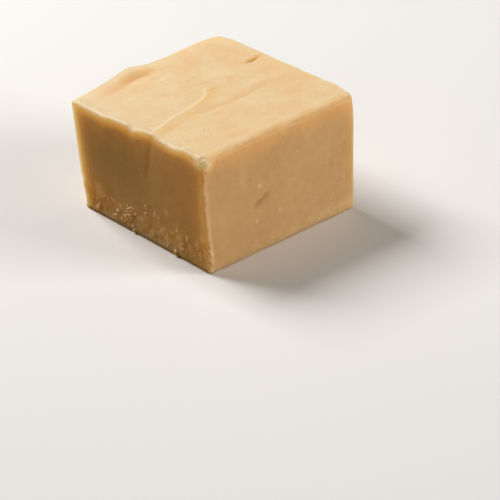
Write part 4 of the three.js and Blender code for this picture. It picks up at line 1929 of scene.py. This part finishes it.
    def material(self, effects: Effects) -> bpy.types.Material:
        """Wires the material.

        Args:
            effects: The shared effects.

        Returns:
            The block's material.
        """
        material, wire = new_material("fudge")
        masks = {name: wire.mask(name) for name in self.masks}
        patterns = self.patterns(wire, effects, masks)
        rough = wire.ramp(patterns["grain"], 0.3, 0.7, self.roughness)
        rougher = wire.total((masks["torn"], 0.2), (masks["dry_edge"], -0.2))
        relief = {"Height": self.height(wire, masks, patterns), "Strength": 1.0, "Distance": MM}
        shader = wire.node(
            "ShaderNodeBsdfPrincipled",
            {
                "Base Color": self.colour(wire, masks, patterns),
                "Roughness": wire.math("ADD", rough, rougher, clamp=True),
                "Normal": wire.node("ShaderNodeBump", relief).outputs[0],
                "IOR": self.refraction,
                "Specular IOR Level": self.specular,
                "Subsurface Weight": 1.0,
                "Subsurface Radius": self.shine_spread,
                "Subsurface Scale": self.depth(wire, masks),
            },
        )
        wire.node("ShaderNodeOutputMaterial", {"Surface": shader.outputs[0]})
        return material


@dataclass(frozen=True)
class CrumbFinish:
    """The finish of a loose crumb: dry, pale and rough."""

    name: str
    pale: Colour = (0.95, 0.77, 0.50)
    deep: Colour = (0.88, 0.63, 0.36)
    roughness: Pair = (0.5, 0.7)
    relief: float = 0.03
    refraction: float = 1.45
    specular: float = 0.4

    def material(self, effects: Effects) -> bpy.types.Material:
        """Wires the material.

        Args:
            effects: The shared effects.

        Returns:
            The crumbs' material.
        """
        material, wire = new_material(self.name)
        place = wire.place()
        clouds = effects.use(wire, Effect.MOTTLE, place, Patch_Size=0.8, Contrast=1.4)
        grain = effects.use(wire, Effect.GRAIN, place, Grain_Size=0.12)
        relief = {"Height": grain, "Strength": 1.0, "Distance": self.relief * MM}
        shader = wire.node(
            "ShaderNodeBsdfPrincipled",
            {
                "Base Color": wire.blend(clouds, self.deep, self.pale),
                "Roughness": wire.ramp(grain, 0.3, 0.7, self.roughness),
                "Normal": wire.node("ShaderNodeBump", relief).outputs[0],
                "IOR": self.refraction,
                "Specular IOR Level": self.specular,
            },
        )
        wire.node("ShaderNodeOutputMaterial", {"Surface": shader.outputs[0]})
        return material


# ---- The studio ----


def direction(azimuth: float, elevation: float) -> Vector:
    """Returns the direction to a place round the block, by its angles in degrees.

    Args:
        azimuth: How far round it is from the near side, towards the right.
        elevation: How far up it is.

    Returns:
        The direction, of length 1.
    """
    across, up = math.radians(azimuth), math.radians(elevation)
    return Vector((math.sin(across) * math.cos(up), -math.cos(across) * math.cos(up), math.sin(up)))


@dataclass(frozen=True)
class SoftBox:
    """A square lamp with a cloth front, aimed at the middle of the block."""

    name: str
    azimuth: float
    elevation: float
    distance: float
    side: float
    power: float
    colour: Colour

    def hang(self, target: Vector) -> bpy.types.Object:
        """Hangs the lamp.

        Args:
            target: The point that it is aimed at.

        Returns:
            The lamp.
        """
        lamp = bpy.data.lights.new(self.name, "AREA")
        lamp.shape = "SQUARE"
        lamp.size = self.side
        lamp.energy = self.power
        lamp.color = self.colour
        away = direction(self.azimuth, self.elevation)
        aim = away.to_track_quat("Z", "Y").to_matrix().to_4x4()
        box = add_object(self.name, lamp)
        box.matrix_world = Matrix.Translation(target + away * self.distance) @ aim
        return box


@dataclass(frozen=True)
class Camera:
    """The camera, given by the direction that it looks from. Azimuth 0 looks along +Y."""

    azimuth: float = -39.81
    elevation: float = 30.31
    roll: float = -3.79
    distance: float = 0.4022
    target: Triple = (1.2, -5.73, -6.84)
    lens: float = 172.8
    film: float = 36.0
    reach: Pair = (0.01, 20.0)

    def place(self) -> bpy.types.Object:
        """Sets the camera up and makes it the scene's own.

        Returns:
            The camera.
        """
        data = bpy.data.cameras.new("camera")
        data.sensor_fit = "HORIZONTAL"
        data.sensor_width = self.film
        data.lens = self.lens
        data.clip_start, data.clip_end = self.reach
        roll = math.radians(self.roll)
        back = direction(self.azimuth, self.elevation)
        right = Vector((0.0, 0.0, 1.0)).cross(back).normalized()
        over = back.cross(right)
        turned_right = right * math.cos(roll) + over * math.sin(roll)
        turned_over = over * math.cos(roll) - right * math.sin(roll)
        axes = Matrix((turned_right, turned_over, back)).transposed().to_4x4()
        camera = add_object("camera", data)
        camera.matrix_world = Matrix.Translation(Vector(self.target) * MM + back * self.distance) @ axes
        bpy.context.scene.camera = camera
        return camera


@dataclass
class Studio:
    """A plain pale floor under soft light."""

    floor_side: float = 3.0
    floor_colour: Colour = (0.92, 0.93, 0.94)
    bounce_colour: Colour = (0.53, 0.358, 0.142)
    haze: float = 0.985
    haze_pitch: float = 9.0
    room_colour: Colour = (1.0, 0.86, 0.56)
    room_strength: float = 0.045
    target: Triple = (0.0, 0.0, 12.0)
    boxes: tuple[SoftBox, ...] = (
        SoftBox("back_box", 189.0, 45.0, 0.7, 0.34, 5.15, (1.0, 0.96, 0.92)),
        SoftBox("side_box", 32.0, 17.0, 0.7, 0.34, 3.7, (1.0, 0.955, 0.915)),
    )
    camera: Camera = field(default_factory=Camera)

    def floor_material(self) -> bpy.types.Material:
        """Wires the floor's matt finish: pale where it is seen, and warm in the light that it throws back.

        Returns:
            The material.
        """
        material, wire = new_material("studio_floor")
        place = wire.node("ShaderNodeTexCoord").outputs["Object"]
        haze = wire.ramp(wire.noise(place, self.haze_pitch), 0.3, 0.7)
        darker = tuple(c * self.haze for c in self.floor_colour)
        colour = wire.blend(haze, darker, self.floor_colour)
        seen = wire.node("ShaderNodeLightPath").outputs["Is Camera Ray"]
        shader = wire.node("ShaderNodeBsdfDiffuse", {"Color": wire.blend(seen, self.bounce_colour, colour)})
        wire.node("ShaderNodeOutputMaterial", {"Surface": shader.outputs[0]})
        return material

    def lay_floor(self) -> bpy.types.Object:
        """Lays the floor under the block.

        Returns:
            The floor.
        """
        half = self.floor_side / 2.0
        corners = [(-half, -half, 0.0), (half, -half, 0.0), (half, half, 0.0), (-half, half, 0.0)]
        mesh = bpy.data.meshes.new("floor")
        mesh.from_pydata(corners, [], [(0, 1, 2, 3)])
        mesh.materials.append(self.floor_material())
        floor = add_object("floor", mesh)
        return floor

    def light_room(self) -> None:
        """Gives the room its dim even light."""
        world = bpy.data.worlds.new("room")
        world.use_nodes = True
        world.node_tree.nodes.clear()
        wire = Wiring(world.node_tree)
        light = wire.node("ShaderNodeBackground", {"Color": self.room_colour, "Strength": self.room_strength})
        wire.node("ShaderNodeOutputWorld", {"Surface": light.outputs[0]})
        bpy.context.scene.world = world

    def set_up(self) -> None:
        """Builds the floor, the light and the camera."""
        self.lay_floor()
        self.light_room()
        for box in self.boxes:
            box.hang(Vector(self.target) * MM)
        self.camera.place()
        bpy.context.scene.view_settings.view_transform = "Standard"
        bpy.context.scene.view_settings.look = "None"


# ---- The whole ----


@dataclass
class FudgeCube:
    """The cube: its block and the crumbs that cling to it."""

    block: FudgeBlock = field(default_factory=FudgeBlock)
    relief: SurfaceRelief = field(default_factory=SurfaceRelief)
    crumbs: tuple[Crumbs, ...] = (
        Crumbs(CrumbKind.FLECK, 0.45, 10.0, -0.5, 0.2, 0.56, (0.75, 0.75, 1.1), seed=4),
        Crumbs(CrumbKind.GRIT, 0.6, 2.0, 0.5, 0.08, 0.18, (0.8, 0.8, 1.3), seed=3),
        Crumbs(CrumbKind.EDGE, 0.3, 5.0, 0.4, 0.05, 0.15, (1.0, 1.0, 1.0), seed=9),
        Crumbs(CrumbKind.SPECK, 0.7, 12.0, -0.5, 0.13, 0.2, (1.0, 1.0, 0.8), seed=5),
        Crumbs(CrumbKind.FRAY, 0.6, 2.0, 0.45, 0.05, 0.12, (1.0, 1.0, 1.0), seed=7),
    )

    def build(self, effects: Effects) -> list[bpy.types.Object]:
        """Builds and dresses every piece, and attaches it to the root body.

        Args:
            effects: The shared effects.

        Returns:
            The pieces.
        """
        finish = FudgeFinish().material(effects)
        crumb_finish = CrumbFinish("fudge_crumb").material(effects)
        block = self.block.build()
        self.relief.lay_on(block, finish)
        pieces = [block, *(crumbs.scatter(block, crumb_finish) for crumbs in self.crumbs)]
        for piece in pieces:
            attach(piece, "root")
        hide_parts("fudge")
        return pieces


def main() -> None:
    """Builds the cube and the studio round it."""
    logging.basicConfig(level=logging.INFO, format="%(name)s: %(message)s")
    effects = Effects()
    effects.build()
    for piece in FudgeCube().build(effects):
        LOG.info("%s has %d faces", piece.name, len(piece.data.polygons))
    Studio().set_up()


if __name__ == "__main__":
    main()
